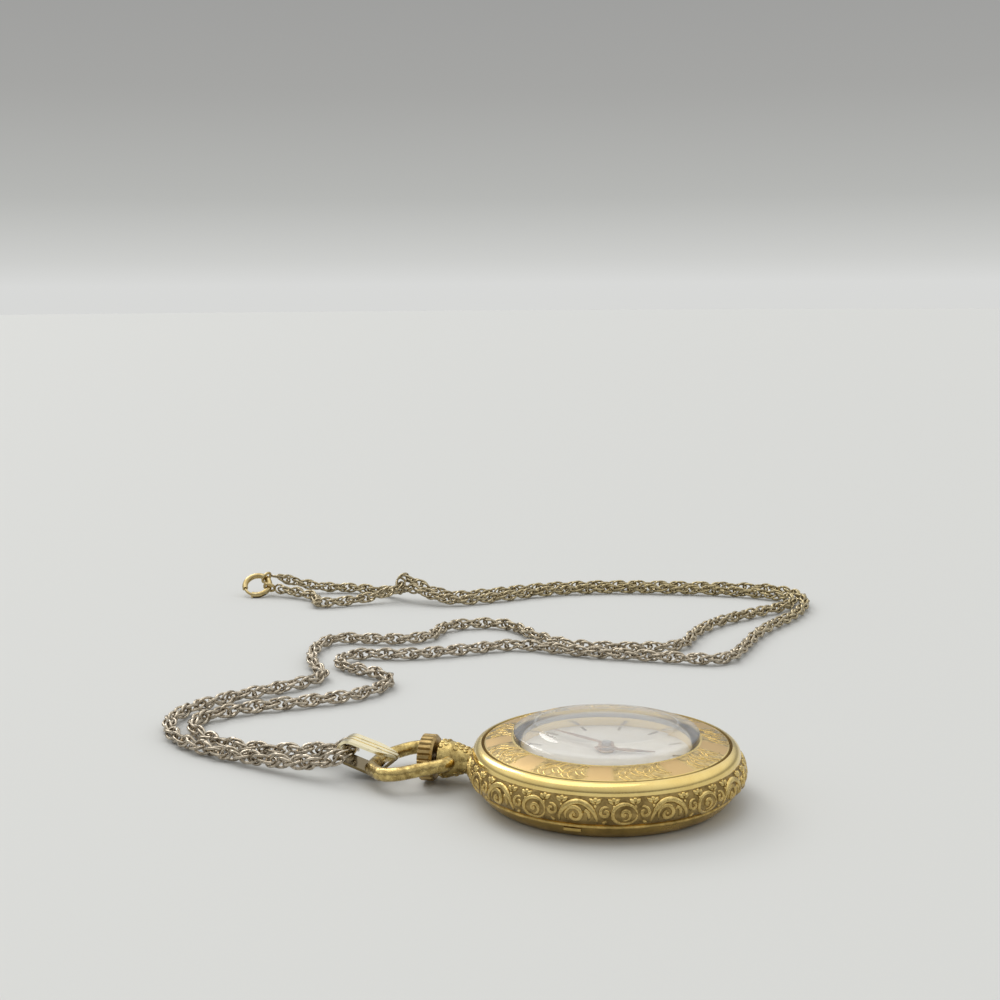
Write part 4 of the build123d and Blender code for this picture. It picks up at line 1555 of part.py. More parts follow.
def make_all():
    """Every piece of the watch, by the name of its file."""
    return {
        "case_back": make_case_back(),
        "case_band": make_case_band(),
        "bezel": make_bezel(),
        "crystal": make_crystal(),
        "pendant_neck": make_neck(),
        "bow": make_bow(),
        "bail": make_bail(),
        "crown": make_crown(),
        "stem": make_stem(),
        "chain_strand_a": make_strand(CHAIN_A_ROUTE, "strand a"),
        "chain_strand_b": make_strand(CHAIN_B_ROUTE, "strand b"),
        "spring_ring": make_spring_ring(),
        "spring_ring_gate": make_gate(),
        "clasp_jump_ring": make_jump_ring(CLASP_JUMP_ANGLE),
        "end_jump_ring": make_jump_ring(END_JUMP_ANGLE),
        "dial": make_dial(),
        "dial_markers": make_markers(),
        "hour_hand": make_hand(HOUR_HAND_LENGTH, HOUR_HAND_WIDTH, HOUR_HAND_TAIL, HOUR_PIPE_RADIUS,
                               HOUR_HAND_Z,
                               HOUR_HAND_ANGLE),
        "minute_hand": make_hand(MINUTE_HAND_LENGTH, MINUTE_HAND_WIDTH, MINUTE_HAND_TAIL, CANNON_RADIUS,
                                 MINUTE_HAND_Z, MINUTE_HAND_ANGLE),
        "movement_ring": make_movement_ring(),
        "case_clamps": make_clamps(),
        "case_clamp_screws": make_clamp_screws(),
        "main_plate": make_main_plate(),
        "plate_jewels": make_plate_jewels(),
        "barrel_bridge": make_barrel_bridge(),
        "train_bridge": make_train_bridge(),
        "bridge_jewels": make_bridge_jewels(),
        "balance_cock": make_balance_cock(),
        "cock_jewel": make_cock_jewel(),
        "bridge_screws": make_bridge_screws(),
        "pallet_bridge": make_pallet_bridge(),
        "barrel_drum": make_barrel_drum(),
        "barrel_cover": make_barrel_cover(),
        "barrel_arbor": make_barrel_arbor(),
        "mainspring": make_mainspring(),
        "centre_wheel": make_centre_wheel(),
        "third_wheel": make_third_wheel(),
        "fourth_wheel": make_fourth_wheel(),
        "escape_wheel": make_escape_wheel(),
        "pallet_fork": make_pallet_fork(),
        "balance_wheel": make_balance_wheel(),
        "balance_staff": make_balance_staff(),
        "hairspring": make_hairspring(),
        "hairspring_stud": make_hairspring_stud(),
        "regulator": make_regulator(),
        "crown_wheel": make_crown_wheel(),
        "crown_wheel_collar": make_crown_wheel_ring(),
        "ratchet_wheel": make_ratchet_wheel(),
        "click": make_click(),
        "click_screw": make_click_screw(),
        "click_spring": make_click_spring(),
        "winding_pinion": make_winding_pinion(),
        "clutch_wheel": make_clutch(),
        "setting_lever": make_setting_lever(),
        "yoke": make_yoke(),
        "cannon_pinion": make_cannon_pinion(),
        "minute_wheel": make_minute_wheel(),
        "hour_wheel": make_hour_wheel(),
        "setting_wheel": make_setting_wheel(),
        "dial_washer": make_dial_washer(),
    }


os.makedirs("parts", exist_ok=True)
for node, shape in make_all().items():
    export_step(shape, f"parts/{node}.step")
    print(node, "solids", len(shape.solids()), "volume", round(shape.volume, 4))
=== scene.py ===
"""The looks of a pendant watch on its long neck chain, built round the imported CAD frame.

Metres, in the frame of the CAD: the origin is under the middle of the case back, +Z runs up
through the crystal, and +Y runs out along the stem, past twelve o'clock.
"""
from math import cos, pi, radians, sin, tau

import bpy
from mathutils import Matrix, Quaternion, Vector, noise


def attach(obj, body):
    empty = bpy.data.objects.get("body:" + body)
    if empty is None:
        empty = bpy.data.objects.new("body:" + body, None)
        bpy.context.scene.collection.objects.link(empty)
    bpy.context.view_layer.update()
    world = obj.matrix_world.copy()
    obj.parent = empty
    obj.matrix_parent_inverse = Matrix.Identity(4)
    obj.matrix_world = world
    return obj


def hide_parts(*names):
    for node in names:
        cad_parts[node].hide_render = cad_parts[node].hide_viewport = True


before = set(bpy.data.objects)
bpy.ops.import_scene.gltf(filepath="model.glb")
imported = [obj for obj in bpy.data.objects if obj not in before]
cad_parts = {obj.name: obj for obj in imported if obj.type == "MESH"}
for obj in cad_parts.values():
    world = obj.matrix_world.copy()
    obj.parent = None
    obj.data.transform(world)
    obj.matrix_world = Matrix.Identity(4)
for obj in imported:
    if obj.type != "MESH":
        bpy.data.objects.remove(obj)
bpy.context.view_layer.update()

# The studio: a wide pale table seen from a low camera, under a pale even ceiling, in a room
# that is darker behind the camera. Two soft lamps, one overhead and one on the far left,
# make the shadows fall forward.
CAMERA_PLACE = (-0.15486, -0.02974, 0.05536)
CAMERA_LOOK = (0.95601, 0.25616, -0.14295)
CAMERA_ROLL = -0.37
LENS = 54.0
SENSOR_WIDTH = 36.0
NEAR_CLIP = 0.005
TABLE_RADIUS = 3.0
TABLE_SIDES = 96
TABLE_COLOUR = (0.63, 0.635, 0.62, 1.0)
TABLE_ROUGHNESS = 0.75
ROOM_TONES = (
    (0.44, (0.66, 0.665, 0.65, 1.0)),
    (0.5, (0.69, 0.695, 0.685, 1.0)),
    (0.508, (0.61, 0.615, 0.60, 1.0)),
    (0.528, (0.47, 0.475, 0.46, 1.0)),
    (0.561, (0.38, 0.38, 0.37, 1.0)),
    (0.6, (0.34, 0.34, 0.335, 1.0)),
    (0.64, (0.6, 0.605, 0.60, 1.0)),
    (0.72, (0.9, 0.905, 0.9, 1.0)),
    (0.84, (1.0, 1.005, 1.0, 1.0)),
    (1.0, (1.05, 1.05, 1.04, 1.0)),
)
ROOM_NEAR_SHADE = 0.58
ROOM_NEAR_X = (-0.9, 0.1)
OVERHEAD_SHINE = (0.1, 0.25, 1.0)
OVERHEAD_ANGLE = 50.0
OVERHEAD_POWER = 0.45
OVERHEAD_COLOUR = (1.0, 0.985, 0.96)
WINDOW_SHINE = (0.55, 0.6, 0.62)
WINDOW_ANGLE = 24.0
WINDOW_POWER = 0.55
WINDOW_COLOUR = (1.0, 0.99, 0.97)

camera_data = bpy.data.cameras.new("camera")
camera_data.lens = LENS
camera_data.sensor_width = SENSOR_WIDTH
camera_data.clip_start = NEAR_CLIP
camera = bpy.data.objects.new("camera", camera_data)
camera.location = CAMERA_PLACE
look = Vector(CAMERA_LOOK).to_track_quat("-Z", "Y")
camera.rotation_mode = "QUATERNION"
camera.rotation_quaternion = look @ Quaternion((0.0, 0.0, 1.0), radians(CAMERA_ROLL))
bpy.context.collection.objects.link(camera)
bpy.context.scene.camera = camera
bpy.context.scene.view_settings.view_transform = "Standard"


def add_object(name, vertices, faces, smooth=True):
    """A mesh object from plain lists of points and faces."""
    mesh = bpy.data.meshes.new(name)
    mesh.from_pydata(vertices, [], faces)
    mesh.polygons.foreach_set("use_smooth", [smooth] * len(faces))
    mesh.update()
    piece = bpy.data.objects.new(name, mesh)
    bpy.context.collection.objects.link(piece)
    return piece


def add_lamp(name, source, angle, power, colour):
    """A far soft lamp that shines from a direction, as wide as an angle."""
    lamp_data = bpy.data.lights.new(name, "SUN")
    lamp_data.angle = radians(angle)
    lamp_data.energy = power
    lamp_data.color = colour
    lamp = bpy.data.objects.new(name, lamp_data)
    lamp.rotation_euler = Vector(source).to_track_quat("Z", "Y").to_euler()
    bpy.context.collection.objects.link(lamp)


def link(tree, start, end):
    """Joins two sockets of a node tree."""
    tree.links.new(start, end)


def set_inputs(node, **values):
    """Sets some of a shader node's inputs by name."""
    for socket, value in values.items():
        node.inputs[socket.replace("_", " ")].default_value = value


def new_node(tree, kind, **values):
    """A new shader node with some of its inputs set by name."""
    node = tree.nodes.new(kind)
    set_inputs(node, **values)
    return node


def shader_of(material):
    """The main shader of a material."""
    return material.node_tree.nodes["Principled BSDF"]


table_points = []
for k in range(TABLE_SIDES):
    turn = tau * k / TABLE_SIDES
    table_points.append((TABLE_RADIUS * cos(turn), TABLE_RADIUS * sin(turn), 0.0))
table = add_object("table_top", table_points, [tuple(range(TABLE_SIDES))], smooth=False)
table_paint = bpy.data.materials.new("table_paint")
table_paint.use_nodes = True
set_inputs(shader_of(table_paint), Base_Color=TABLE_COLOUR, Roughness=TABLE_ROUGHNESS)
table.data.materials.append(table_paint)

world = bpy.data.worlds.new("room")
world.use_nodes = True
room = world.node_tree
room.nodes.clear()
room_out = room.nodes.new("ShaderNodeOutputWorld")
room_shine = room.nodes.new("ShaderNodeBackground")
room_place = room.nodes.new("ShaderNodeTexCoord")
room_height = room.nodes.new("ShaderNodeSeparateXYZ")
room_tones = room.nodes.new("ShaderNodeValToRGB")
for number, (position, tone) in enumerate(ROOM_TONES):
    stops = room_tones.color_ramp.elements
    stop = stops[number] if number < 2 else stops.new(position)
    stop.position = position
    stop.color = tone
to_share = new_node(room, "ShaderNodeMapRange", From_Min=-1.0)
link(room, room_place.outputs["Generated"], room_height.inputs["Vector"])
link(room, room_height.outputs["Z"], to_share.inputs["Value"])
link(room, to_share.outputs["Result"], room_tones.inputs["Fac"])
link(room, room_tones.outputs["Color"], room_shine.inputs["Color"])
room_depth = new_node(room, "ShaderNodeMapRange", From_Min=ROOM_NEAR_X[0],
                      From_Max=ROOM_NEAR_X[1], To_Min=ROOM_NEAR_SHADE)
link(room, room_height.outputs["X"], room_depth.inputs["Value"])
link(room, room_depth.outputs["Result"], room_shine.inputs["Strength"])
link(room, room_shine.outputs["Background"], room_out.inputs["Surface"])
bpy.context.scene.world = world
add_lamp("overhead", OVERHEAD_SHINE, OVERHEAD_ANGLE, OVERHEAD_POWER, OVERHEAD_COLOUR)
add_lamp("window", WINDOW_SHINE, WINDOW_ANGLE, WINDOW_POWER, WINDOW_COLOUR)

# The movement's plate, bridges and cock: brass washed with nickel, brushed in one direction
# and held down with slotted steel screws. The movement sits in its ring, under the dial.
NICKEL = (0.62, 0.60, 0.54, 1.0)
NICKEL_DULL = (0.44, 0.41, 0.35, 1.0)
GILT = (0.78, 0.56, 0.24, 1.0)
GILT_DULL = (0.50, 0.34, 0.14, 1.0)
STEEL = (0.55, 0.56, 0.58, 1.0)
STEEL_DULL = (0.33, 0.33, 0.34, 1.0)
TARNISH_EDGES = (0.75, 1.15)
GRAIN_DISTANCE = 0.0001


def maths(tree, operation, first, second=None):
    """The result of one sum on one or two values, each a socket or a number."""
    sum_node = tree.nodes.new("ShaderNodeMath")
    sum_node.operation = operation
    for number, value in enumerate((first, second)):
        if isinstance(value, float):
            sum_node.inputs[number].default_value = value
        elif value is not None:
            link(tree, value, sum_node.inputs[number])
    return sum_node.outputs["Value"]


def ramp_mask(tree, value, start, end):
    """A mask that goes from 0 at one value to 1 at another."""
    mask = new_node(tree, "ShaderNodeMapRange", From_Min=start, From_Max=end)
    link(tree, value, mask.inputs["Value"])
    return mask.outputs["Result"]


def blend_colours(tree, mask, low, high):
    """A colour between two others, each a socket or a plain colour, by a mask."""
    blend = tree.nodes.new("ShaderNodeMix")
    blend.data_type = "RGBA"
    link(tree, mask, blend.inputs["Factor"])
    for name, colour in (("A", low), ("B", high)):
        if isinstance(colour, tuple):
            blend.inputs[name].default_value = colour
        else:
            link(tree, colour, blend.inputs[name])
    return blend.outputs["Result"]


def make_surface_group():
    """Clouded tarnish, uneven gloss and fine grain, for every metal and paint of the watch."""
    group = bpy.data.node_groups.new("worn_surface", "ShaderNodeTree")
    for name, kind, value in (
        ("Metal", "NodeSocketColor", GILT), ("Tarnish", "NodeSocketColor", GILT_DULL),
        ("Tarnish Share", "NodeSocketFloat", 0.4), ("Cloud Scale", "NodeSocketFloat", 400.0),
        ("Grain Scale", "NodeSocketFloat", 6000.0),
        ("Grain Stretch", "NodeSocketVector", (1.0, 1.0, 1.0)),
        ("Grain Depth", "NodeSocketFloat", 0.1),
        ("Gloss Low", "NodeSocketFloat", 0.2), ("Gloss High", "NodeSocketFloat", 0.4),
    ):
        socket = group.interface.new_socket(name, in_out="INPUT", socket_type=kind)
        socket.default_value = value
    for name, kind in (
        ("Color", "NodeSocketColor"), ("Roughness", "NodeSocketFloat"),
        ("Normal", "NodeSocketVector"),
    ):
        group.interface.new_socket(name, in_out="OUTPUT", socket_type=kind)
    given = group.nodes.new("NodeGroupInput")
    result = group.nodes.new("NodeGroupOutput")
    place = group.nodes.new("ShaderNodeTexCoord")
    cloud = new_node(group, "ShaderNodeTexNoise", Detail=5.0, Roughness=0.65)
    link(group, place.outputs["Object"], cloud.inputs["Vector"])
    link(group, given.outputs["Cloud Scale"], cloud.inputs["Scale"])
    shifted = maths(group, "ADD", cloud.outputs["Fac"], given.outputs["Tarnish Share"])
    share = ramp_mask(group, shifted, *TARNISH_EDGES)
    colour = blend_colours(group, share, given.outputs["Metal"], given.outputs["Tarnish"])
    link(group, colour, result.inputs["Color"])
    gloss = group.nodes.new("ShaderNodeMapRange")
    link(group, share, gloss.inputs["Value"])
    link(group, given.outputs["Gloss Low"], gloss.inputs["To Min"])
    link(group, given.outputs["Gloss High"], gloss.inputs["To Max"])
    link(group, gloss.outputs["Result"], result.inputs["Roughness"])
    stretched = group.nodes.new("ShaderNodeVectorMath")
    stretched.operation = "MULTIPLY"
    link(group, place.outputs["Object"], stretched.inputs[0])
    link(group, given.outputs["Grain Stretch"], stretched.inputs[1])
    grain = new_node(group, "ShaderNodeTexNoise", Detail=3.0, Roughness=0.6)
    link(group, stretched.outputs["Vector"], grain.inputs["Vector"])
    link(group, given.outputs["Grain Scale"], grain.inputs["Scale"])
    relief = new_node(group, "ShaderNodeBump", Distance=GRAIN_DISTANCE)
    link(group, given.outputs["Grain Depth"], relief.inputs["Strength"])
    link(group, grain.outputs["Fac"], relief.inputs["Height"])
    link(group, relief.outputs["Normal"], result.inputs["Normal"])
    return group


surface_group = make_surface_group()


def make_finish(name, metal, tarnish, metallic=1.0, **values):
    """A material whose colour, gloss and grain come from the worn surface group."""
    finish = bpy.data.materials.new(name)
    finish.use_nodes = True
    tree = finish.node_tree
    shader = shader_of(finish)
    worn = tree.nodes.new("ShaderNodeGroup")
    worn.node_tree = surface_group
    set_inputs(worn, Metal=metal, Tarnish=tarnish, **values)
    link(tree, worn.outputs["Color"], shader.inputs["Base Color"])
    link(tree, worn.outputs["Roughness"], shader.inputs["Roughness"])
    link(tree, worn.outputs["Normal"], shader.inputs["Normal"])
    set_inputs(shader, Metallic=metallic)
    return finish


def dress(finish, *names):
    """Gives CAD nodes their finish."""
    for name in names:
        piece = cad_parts[name]
        if not piece.material_slots:
            piece.data.materials.append(finish)
        for slot in piece.material_slots:
            slot.material = finish


nickel_finish = make_finish("nickel_plate", NICKEL, NICKEL_DULL, Tarnish_Share=0.35,
                            Cloud_Scale=250.0, Grain_Scale=3000.0, Grain_Stretch=(0.1, 1.0, 1.0),
                            Grain_Depth=0.25)
dress(nickel_finish, "main_plate", "barrel_bridge", "train_bridge", "balance_cock",
      "pallet_bridge")

# The going train, barrel and motion works: gilt brass wheels, stamped, crossed out and cut,
# on polished steel arbors that turn in ruby jewels pressed into the plate and bridges.
wheel_finish = make_finish("gilt_wheels", GILT, GILT_DULL, Tarnish_Share=0.35, Cloud_Scale=500.0,
                           Grain_Scale=8000.0, Grain_Depth=0.15)
dress(wheel_finish, "barrel_drum", "barrel_cover", "centre_wheel", "third_wheel", "fourth_wheel",
      "balance_wheel", "minute_wheel", "hour_wheel", "dial_washer")
steel_finish = make_finish("polished_steel", STEEL, STEEL_DULL, Tarnish_Share=0.3,
                           Cloud_Scale=600.0, Grain_Scale=9000.0, Grain_Stretch=(1.0, 0.2, 1.0),
                           Grain_Depth=0.1, Gloss_Low=0.15, Gloss_High=0.35)
dress(steel_finish, "barrel_arbor", "escape_wheel", "pallet_fork", "balance_staff",
      "hairspring_stud", "regulator", "crown_wheel", "crown_wheel_collar", "ratchet_wheel",
      "click", "click_screw", "winding_pinion", "clutch_wheel", "setting_lever", "yoke",
      "cannon_pinion", "setting_wheel", "bridge_screws", "case_clamps", "case_clamp_screws",
      "stem")

# Mainspring, hairspring and click spring: thin strips and wires of spring steel, heated until
# they turn blue.
BLUED = (0.05, 0.08, 0.22, 1.0)
BLUED_PURPLE = (0.12, 0.06, 0.16, 1.0)
blued_finish = make_finish("blued_springs", BLUED, BLUED_PURPLE, Tarnish_Share=0.4,
                           Cloud_Scale=700.0, Grain_Scale=9000.0, Grain_Depth=0.08,
                           Gloss_Low=0.15, Gloss_High=0.3)
dress(blued_finish, "mainspring", "hairspring", "click_spring")

# Jewels: bored discs of synthetic ruby, in which the pivots run. They are polished and
# pressed into the plate, the train bridge and the balance cock.
RUBY = (0.55, 0.01, 0.06, 1.0)
RUBY_PALE = (0.75, 0.08, 0.18, 1.0)
ruby_finish = make_finish("ruby", RUBY, RUBY_PALE, metallic=0.0, Tarnish_Share=0.3,
                          Cloud_Scale=900.0, Grain_Depth=0.0, Gloss_Low=0.04, Gloss_High=0.1)
set_inputs(shader_of(ruby_finish), IOR=1.76, Coat_Weight=0.5)
dress(ruby_finish, "plate_jewels", "bridge_jewels", "cock_jewel")

# Movement ring: a moulded spacer that centres the small movement in the wider case. Three
# steel clamps hold the movement in it.
SPACER = (0.62, 0.60, 0.54, 1.0)
SPACER_YELLOWED = (0.55, 0.48, 0.34, 1.0)
spacer_finish = make_finish("moulded_spacer", SPACER, SPACER_YELLOWED, metallic=0.0,
                            Tarnish_Share=0.35, Cloud_Scale=200.0, Grain_Scale=4000.0,
                            Grain_Depth=0.2, Gloss_Low=0.45, Gloss_High=0.6)
dress(spacer_finish, "movement_ring")

# Dial: a brass disc lacquered in silvery cream and brushed outward from the middle, with
# twelve thin applied batons.
DIAL_CREAM = (0.80, 0.77, 0.69, 1.0)
DIAL_AGED = (0.70, 0.64, 0.52, 1.0)
MARKER_DARK = (0.24, 0.20, 0.14, 1.0)
MARKER_GOLD = (0.42, 0.33, 0.20, 1.0)
dial_finish = make_finish("dial_lacquer", DIAL_CREAM, DIAL_AGED, metallic=0.1, Tarnish_Share=0.3,
                          Cloud_Scale=180.0, Grain_Scale=5000.0, Grain_Depth=0.12, Gloss_Low=0.35,
                          Gloss_High=0.5)
dress(dial_finish, "dial")
marker_finish = make_finish("marker_enamel", MARKER_DARK, MARKER_GOLD, metallic=0.6,
                            Tarnish_Share=0.4, Cloud_Scale=1500.0, Grain_Depth=0.05,
                            Gloss_Low=0.2, Gloss_High=0.4)
dress(marker_finish, "dial_markers")

# Hands: stamped from thin brass, copper-gold and clouded dark in places.
# They are pressed on the hour wheel and the cannon pinion.
HAND_COPPER = (0.78, 0.45, 0.24, 1.0)
HAND_DARK = (0.16, 0.09, 0.05, 1.0)
hand_finish = make_finish("hand_copper", HAND_COPPER, HAND_DARK, Tarnish_Share=0.5,
                          Cloud_Scale=350.0, Grain_Scale=9000.0, Grain_Depth=0.08, Gloss_Low=0.2,
                          Gloss_High=0.35)
dress(hand_finish, "hour_hand", "minute_hand")

# Case back: a shallow pressed cup of gold-plated brass that snaps into the band. It is
# clouded with dull olive tarnish.
GOLD = (0.80, 0.57, 0.19, 1.0)
GOLD_PALE = (0.90, 0.70, 0.28, 1.0)
GOLD_OLIVE = (0.36, 0.25, 0.08, 1.0)
GOLD_BROWN = (0.15, 0.095, 0.03, 1.0)
back_finish = make_finish("back_gold", GOLD, GOLD_OLIVE, Tarnish_Share=0.45, Cloud_Scale=160.0,
                          Grain_Scale=3500.0, Grain_Depth=0.2, Gloss_Low=0.2, Gloss_High=0.42)
dress(back_finish, "case_back")

# Case band: the side wall, die-struck with scrolls under arches, round medallions and small
# clusters of leaves and beads that hang from its top edge. The ground between them is matted
# and has gone olive, and the ridge along its foot is polished.
BAND_GROUND = (0.44, 0.31, 0.115, 1.0)
RIDGE_TOP_Z = (0.00194, 0.00184)
band_finish = make_finish("band_ground", BAND_GROUND, GOLD_BROWN, Tarnish_Share=0.4,
                          Cloud_Scale=900.0, Grain_Scale=4200.0, Grain_Depth=0.8, Gloss_Low=0.3,
                          Gloss_High=0.5)


def worn_node(finish):
    """The worn surface group's node in a material."""
    return next(node for node in finish.node_tree.nodes if node.type == "GROUP")


def fade_colour(finish, socket, axis, edges, low, high):
    """Lets one of a finish's colours change along an axis of the piece, between two places."""
    tree = finish.node_tree
    place = tree.nodes.new("ShaderNodeTexCoord")
    axes = tree.nodes.new("ShaderNodeSeparateXYZ")
    link(tree, place.outputs["Object"], axes.inputs["Vector"])
    mask = ramp_mask(tree, axes.outputs[axis], *edges)
    link(tree, blend_colours(tree, mask, low, high), worn_node(finish).inputs[socket])


fade_colour(band_finish, "Metal", "Z", RIDGE_TOP_Z, BAND_GROUND, GOLD)
fade_colour(band_finish, "Tarnish", "Z", RIDGE_TOP_Z, GOLD_BROWN, GOLD_OLIVE)
dress(band_finish, "case_band")

# The relief's colour is painted light by height: painted shade low on the band, and a painted
# highlight that turns it paler near its top.
RELIEF_SHADED = (0.74, 0.54, 0.20, 1.0)
RELIEF_BRIGHT_Z = (0.0033, 0.0045)
relief_finish = make_finish("relief_gold", GOLD, GOLD_OLIVE, Tarnish_Share=0.42,
                            Cloud_Scale=900.0, Grain_Scale=4500.0, Grain_Depth=0.6,
                            Gloss_Low=0.18, Gloss_High=0.34)
fade_colour(relief_finish, "Metal", "Z", RELIEF_BRIGHT_Z, RELIEF_SHADED, GOLD_PALE)
MM = 0.001
BAND_LOW_Z = 2.02 * MM
BAND_HIGH_Z = 4.9 * MM
BAND_RADIUS = 0.0148
BAND_HEIGHT_MM = (BAND_HIGH_Z - BAND_LOW_Z) / MM
RAY_START = 0.02
MOTIF_COUNT = 10
RELIEF_RISE = 1.2
RELIEF_SPREAD = 1.4
STROKE_SIDES = 8
STROKE_TIP = 0.35
STROKE_TAPER = 2.6
BEAD_RINGS = 5
BEAD_SIDES = 10
BAND_BEAD_RISE = 0.14 * MM
SCROLL_MIDDLE = (-0.3, 0.38)
MEDALLION_MIDDLE = (4.68, 0.43)
MEDALLION_REACH = (1.24, 0.36)
MEDALLION_STEPS = 22
CLUSTER_PLACES = (1.75, 3.6, 5.76, 7.61)
CLUSTER_LEAF = ((0.62, 0.95), (0.34, 0.88), (0.08, 0.78))


def cast_to(node, start, direction):
    """The point and outward normal where a ray first meets a CAD node."""
    hit, point, normal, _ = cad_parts[node].ray_cast(Vector(start), Vector(direction))
    if not hit:
        return None
    if normal.dot(Vector(direction)) > 0:
        normal = -normal
    return point, normal


def skin_rings(faces, first, count, sides):
    """Faces between neighbouring rings of points, and one face over each end."""
    for ring in range(count - 1):
        low = first + ring * sides
        high = low + sides
        for side in range(sides):
            following = (side + 1) % sides
            faces.append((low + side, low + following, high + following, high + side))
    faces.append(tuple(first + side for side in reversed(range(sides))))
    faces.append(tuple(first + (count - 1) * sides + side for side in range(sides)))


def add_stroke(mesh_lists, seats, width, height):
    """A raised stroke with a half-round section along seats, each a point and a normal."""
    vertices, faces = mesh_lists
    count = len(seats)
    first = len(vertices)
    for k, (point, normal) in enumerate(seats):
        before = seats[max(k - 1, 0)][0]
        after = seats[min(k + 1, count - 1)][0]
        along = (after - before).normalized()
        across = normal.cross(along).normalized()
        end_share = min(1.0, STROKE_TIP + STROKE_TAPER * min(k, count - 1 - k) / count)
        for side in range(STROKE_SIDES):
            turn = tau * side / STROKE_SIDES
            sideways = across * (cos(turn) * width / 2 * end_share)
            outward = normal * (sin(turn) * height * end_share)
            vertices.append(tuple(point + (sideways + outward)))
    skin_rings(faces, first, count, STROKE_SIDES)


def add_bead(mesh_lists, seat, radius, rise):
    """A low round bead on a seat."""
    vertices, faces = mesh_lists
    point, normal = seat
    side_way = normal.orthogonal().normalized()
    up_way = normal.cross(side_way)
    first = len(vertices)
    for ring in range(BEAD_RINGS):
        lift = pi * (ring + 0.5) / BEAD_RINGS - pi / 2
        for side in range(BEAD_SIDES):
            turn = tau * side / BEAD_SIDES
            outward = (side_way * cos(turn) + up_way * sin(turn)) * (radius * cos(lift))
            vertices.append(tuple(point + outward + normal * (rise * sin(lift))))
    skin_rings(faces, first, BEAD_RINGS, BEAD_SIDES)


def band_seat(angle, share):
    """A place on the band's side, by its angle and its share of the ornamented height."""
    z = BAND_LOW_Z + (BAND_HIGH_Z - BAND_LOW_Z) * share
    out = Vector((cos(angle), sin(angle), 0.0))
    return cast_to("case_band", out * RAY_START + Vector((0.0, 0.0, z)), -out)


def band_line(middle, points):
    """Seats for points given as millimetres along the band and shares of its height."""
    seats = [band_seat(middle + x * MM / BAND_RADIUS, y) for x, y in points]
    return [seat for seat in seats if seat]


def arch_points(half_width, low, high, steps=20):
    """A round arch between two feet."""
    return [(-half_width * cos(pi * k / steps), low + (high - low) * sin(pi * k / steps))
            for k in range(steps + 1)]


def volute_points(centre, start_radius, end_radius, start_turn, turns, way, steps=26):
    """A spiral that winds in to its eye."""
    points = []
    for k in range(steps + 1):
        share = k / steps
        radius = start_radius + (end_radius - start_radius) * share
        turn = radians(start_turn) + way * tau * turns * share
        points.append((centre[0] + radius * cos(turn),
                       centre[1] + radius * sin(turn) / BAND_HEIGHT_MM))
    return points


medallion_rim = []
for k in range(MEDALLION_STEPS + 1):
    turn = tau * k / MEDALLION_STEPS
    medallion_rim.append((MEDALLION_MIDDLE[0] + MEDALLION_REACH[0] * cos(turn),
                          MEDALLION_MIDDLE[1] + MEDALLION_REACH[1] * sin(turn)))
band_strokes = [
    (arch_points(1.95, 0.08, 0.84), 0.46, 0.17),
    (volute_points(SCROLL_MIDDLE, 1.0, 0.22, 215, 1.35, -1), 0.36, 0.15),
    ([(0.55, 0.5), (0.85, 0.56), (1.1, 0.5), (1.2, 0.34), (1.05, 0.2)], 0.34, 0.13),
    (medallion_rim, 0.34, 0.14),
    (volute_points(MEDALLION_MIDDLE, 0.66, 0.12, 250, 1.15, 1), 0.3, 0.13),
    (volute_points((2.74, 0.5), 0.6, 0.14, 60, 1.2, 1), 0.3, 0.14),
    (volute_points((6.62, 0.5), 0.6, 0.14, 120, 1.2, -1), 0.3, 0.14),
    ([(2.5, 0.04), (2.62, 0.12), (2.86, 0.2)], 0.36, 0.12),
    ([(6.86, 0.04), (6.74, 0.12), (6.5, 0.2)], 0.36, 0.12),
]
band_beads = [(*SCROLL_MIDDLE, 0.2), (*MEDALLION_MIDDLE, 0.2)]
for corner in CLUSTER_PLACES:
    for way in (-1, 1):
        leaf_points = [(corner + way * x, y) for x, y in CLUSTER_LEAF]
        band_strokes.append((leaf_points, 0.38, 0.15))
    band_beads += [(corner, 0.92, 0.26), (corner, 0.7, 0.17)]
relief_lists = ([], [])
for motif in range(MOTIF_COUNT):
    middle = tau * motif / MOTIF_COUNT
    for points, width, height in band_strokes:
        seats = band_line(middle, points)
        if len(seats) == len(points):
            add_stroke(relief_lists, seats, width * RELIEF_SPREAD * MM, height * RELIEF_RISE * MM)
    for x, y, radius in band_beads:
        seats = band_line(middle, [(x, y)])
        if seats:
            add_bead(relief_lists, seats[0], radius * MM, BAND_BEAD_RISE)
band_relief = add_object("band_relief", *relief_lists)
band_relief.data.materials.append(relief_finish)
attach(band_relief, "case")

# Bezel: a polished outer slope, a thin groove painted dark as shade, and a ring engraved all
# round with fine running leaves between satin panels. It snaps on the band and holds the
# crystal down.
PANEL_COUNT = 9
PANEL_START = 1.9
PANEL_EDGES = (0.38, 0.66)
ENGRAVED_RADII = (0.01028, 0.01036, 0.01305, 0.01315)
GROOVE_RADII = (0.01318, 0.01326, 0.01352, 0.01358)
RING_GOLD = (0.62, 0.45, 0.19, 1.0)
PANEL_PEACH = (0.66, 0.46, 0.21, 1.0)
RING_TONE = 0.8
CUT_SCALE = 1500.0
CUT_DEPTH = 0.00006
CUT_DARK_EDGES = (0.35, 1.1)
SATIN_GLOSS = 0.22
bezel_finish = make_finish("bezel_gold", GOLD_PALE, GOLD, Tarnish_Share=0.35, Cloud_Scale=220.0,
                           Grain_Scale=5000.0, Grain_Depth=0.06, Gloss_Low=0.12, Gloss_High=0.26)
dress(bezel_finish, "bezel")


def band_mask(tree, value, edges):
    """A mask that is 1 between two values, with soft edges."""
    rise = ramp_mask(tree, value, edges[0], edges[1])
    fall = ramp_mask(tree, value, edges[3], edges[2])
    return maths(tree, "MULTIPLY", rise, fall)


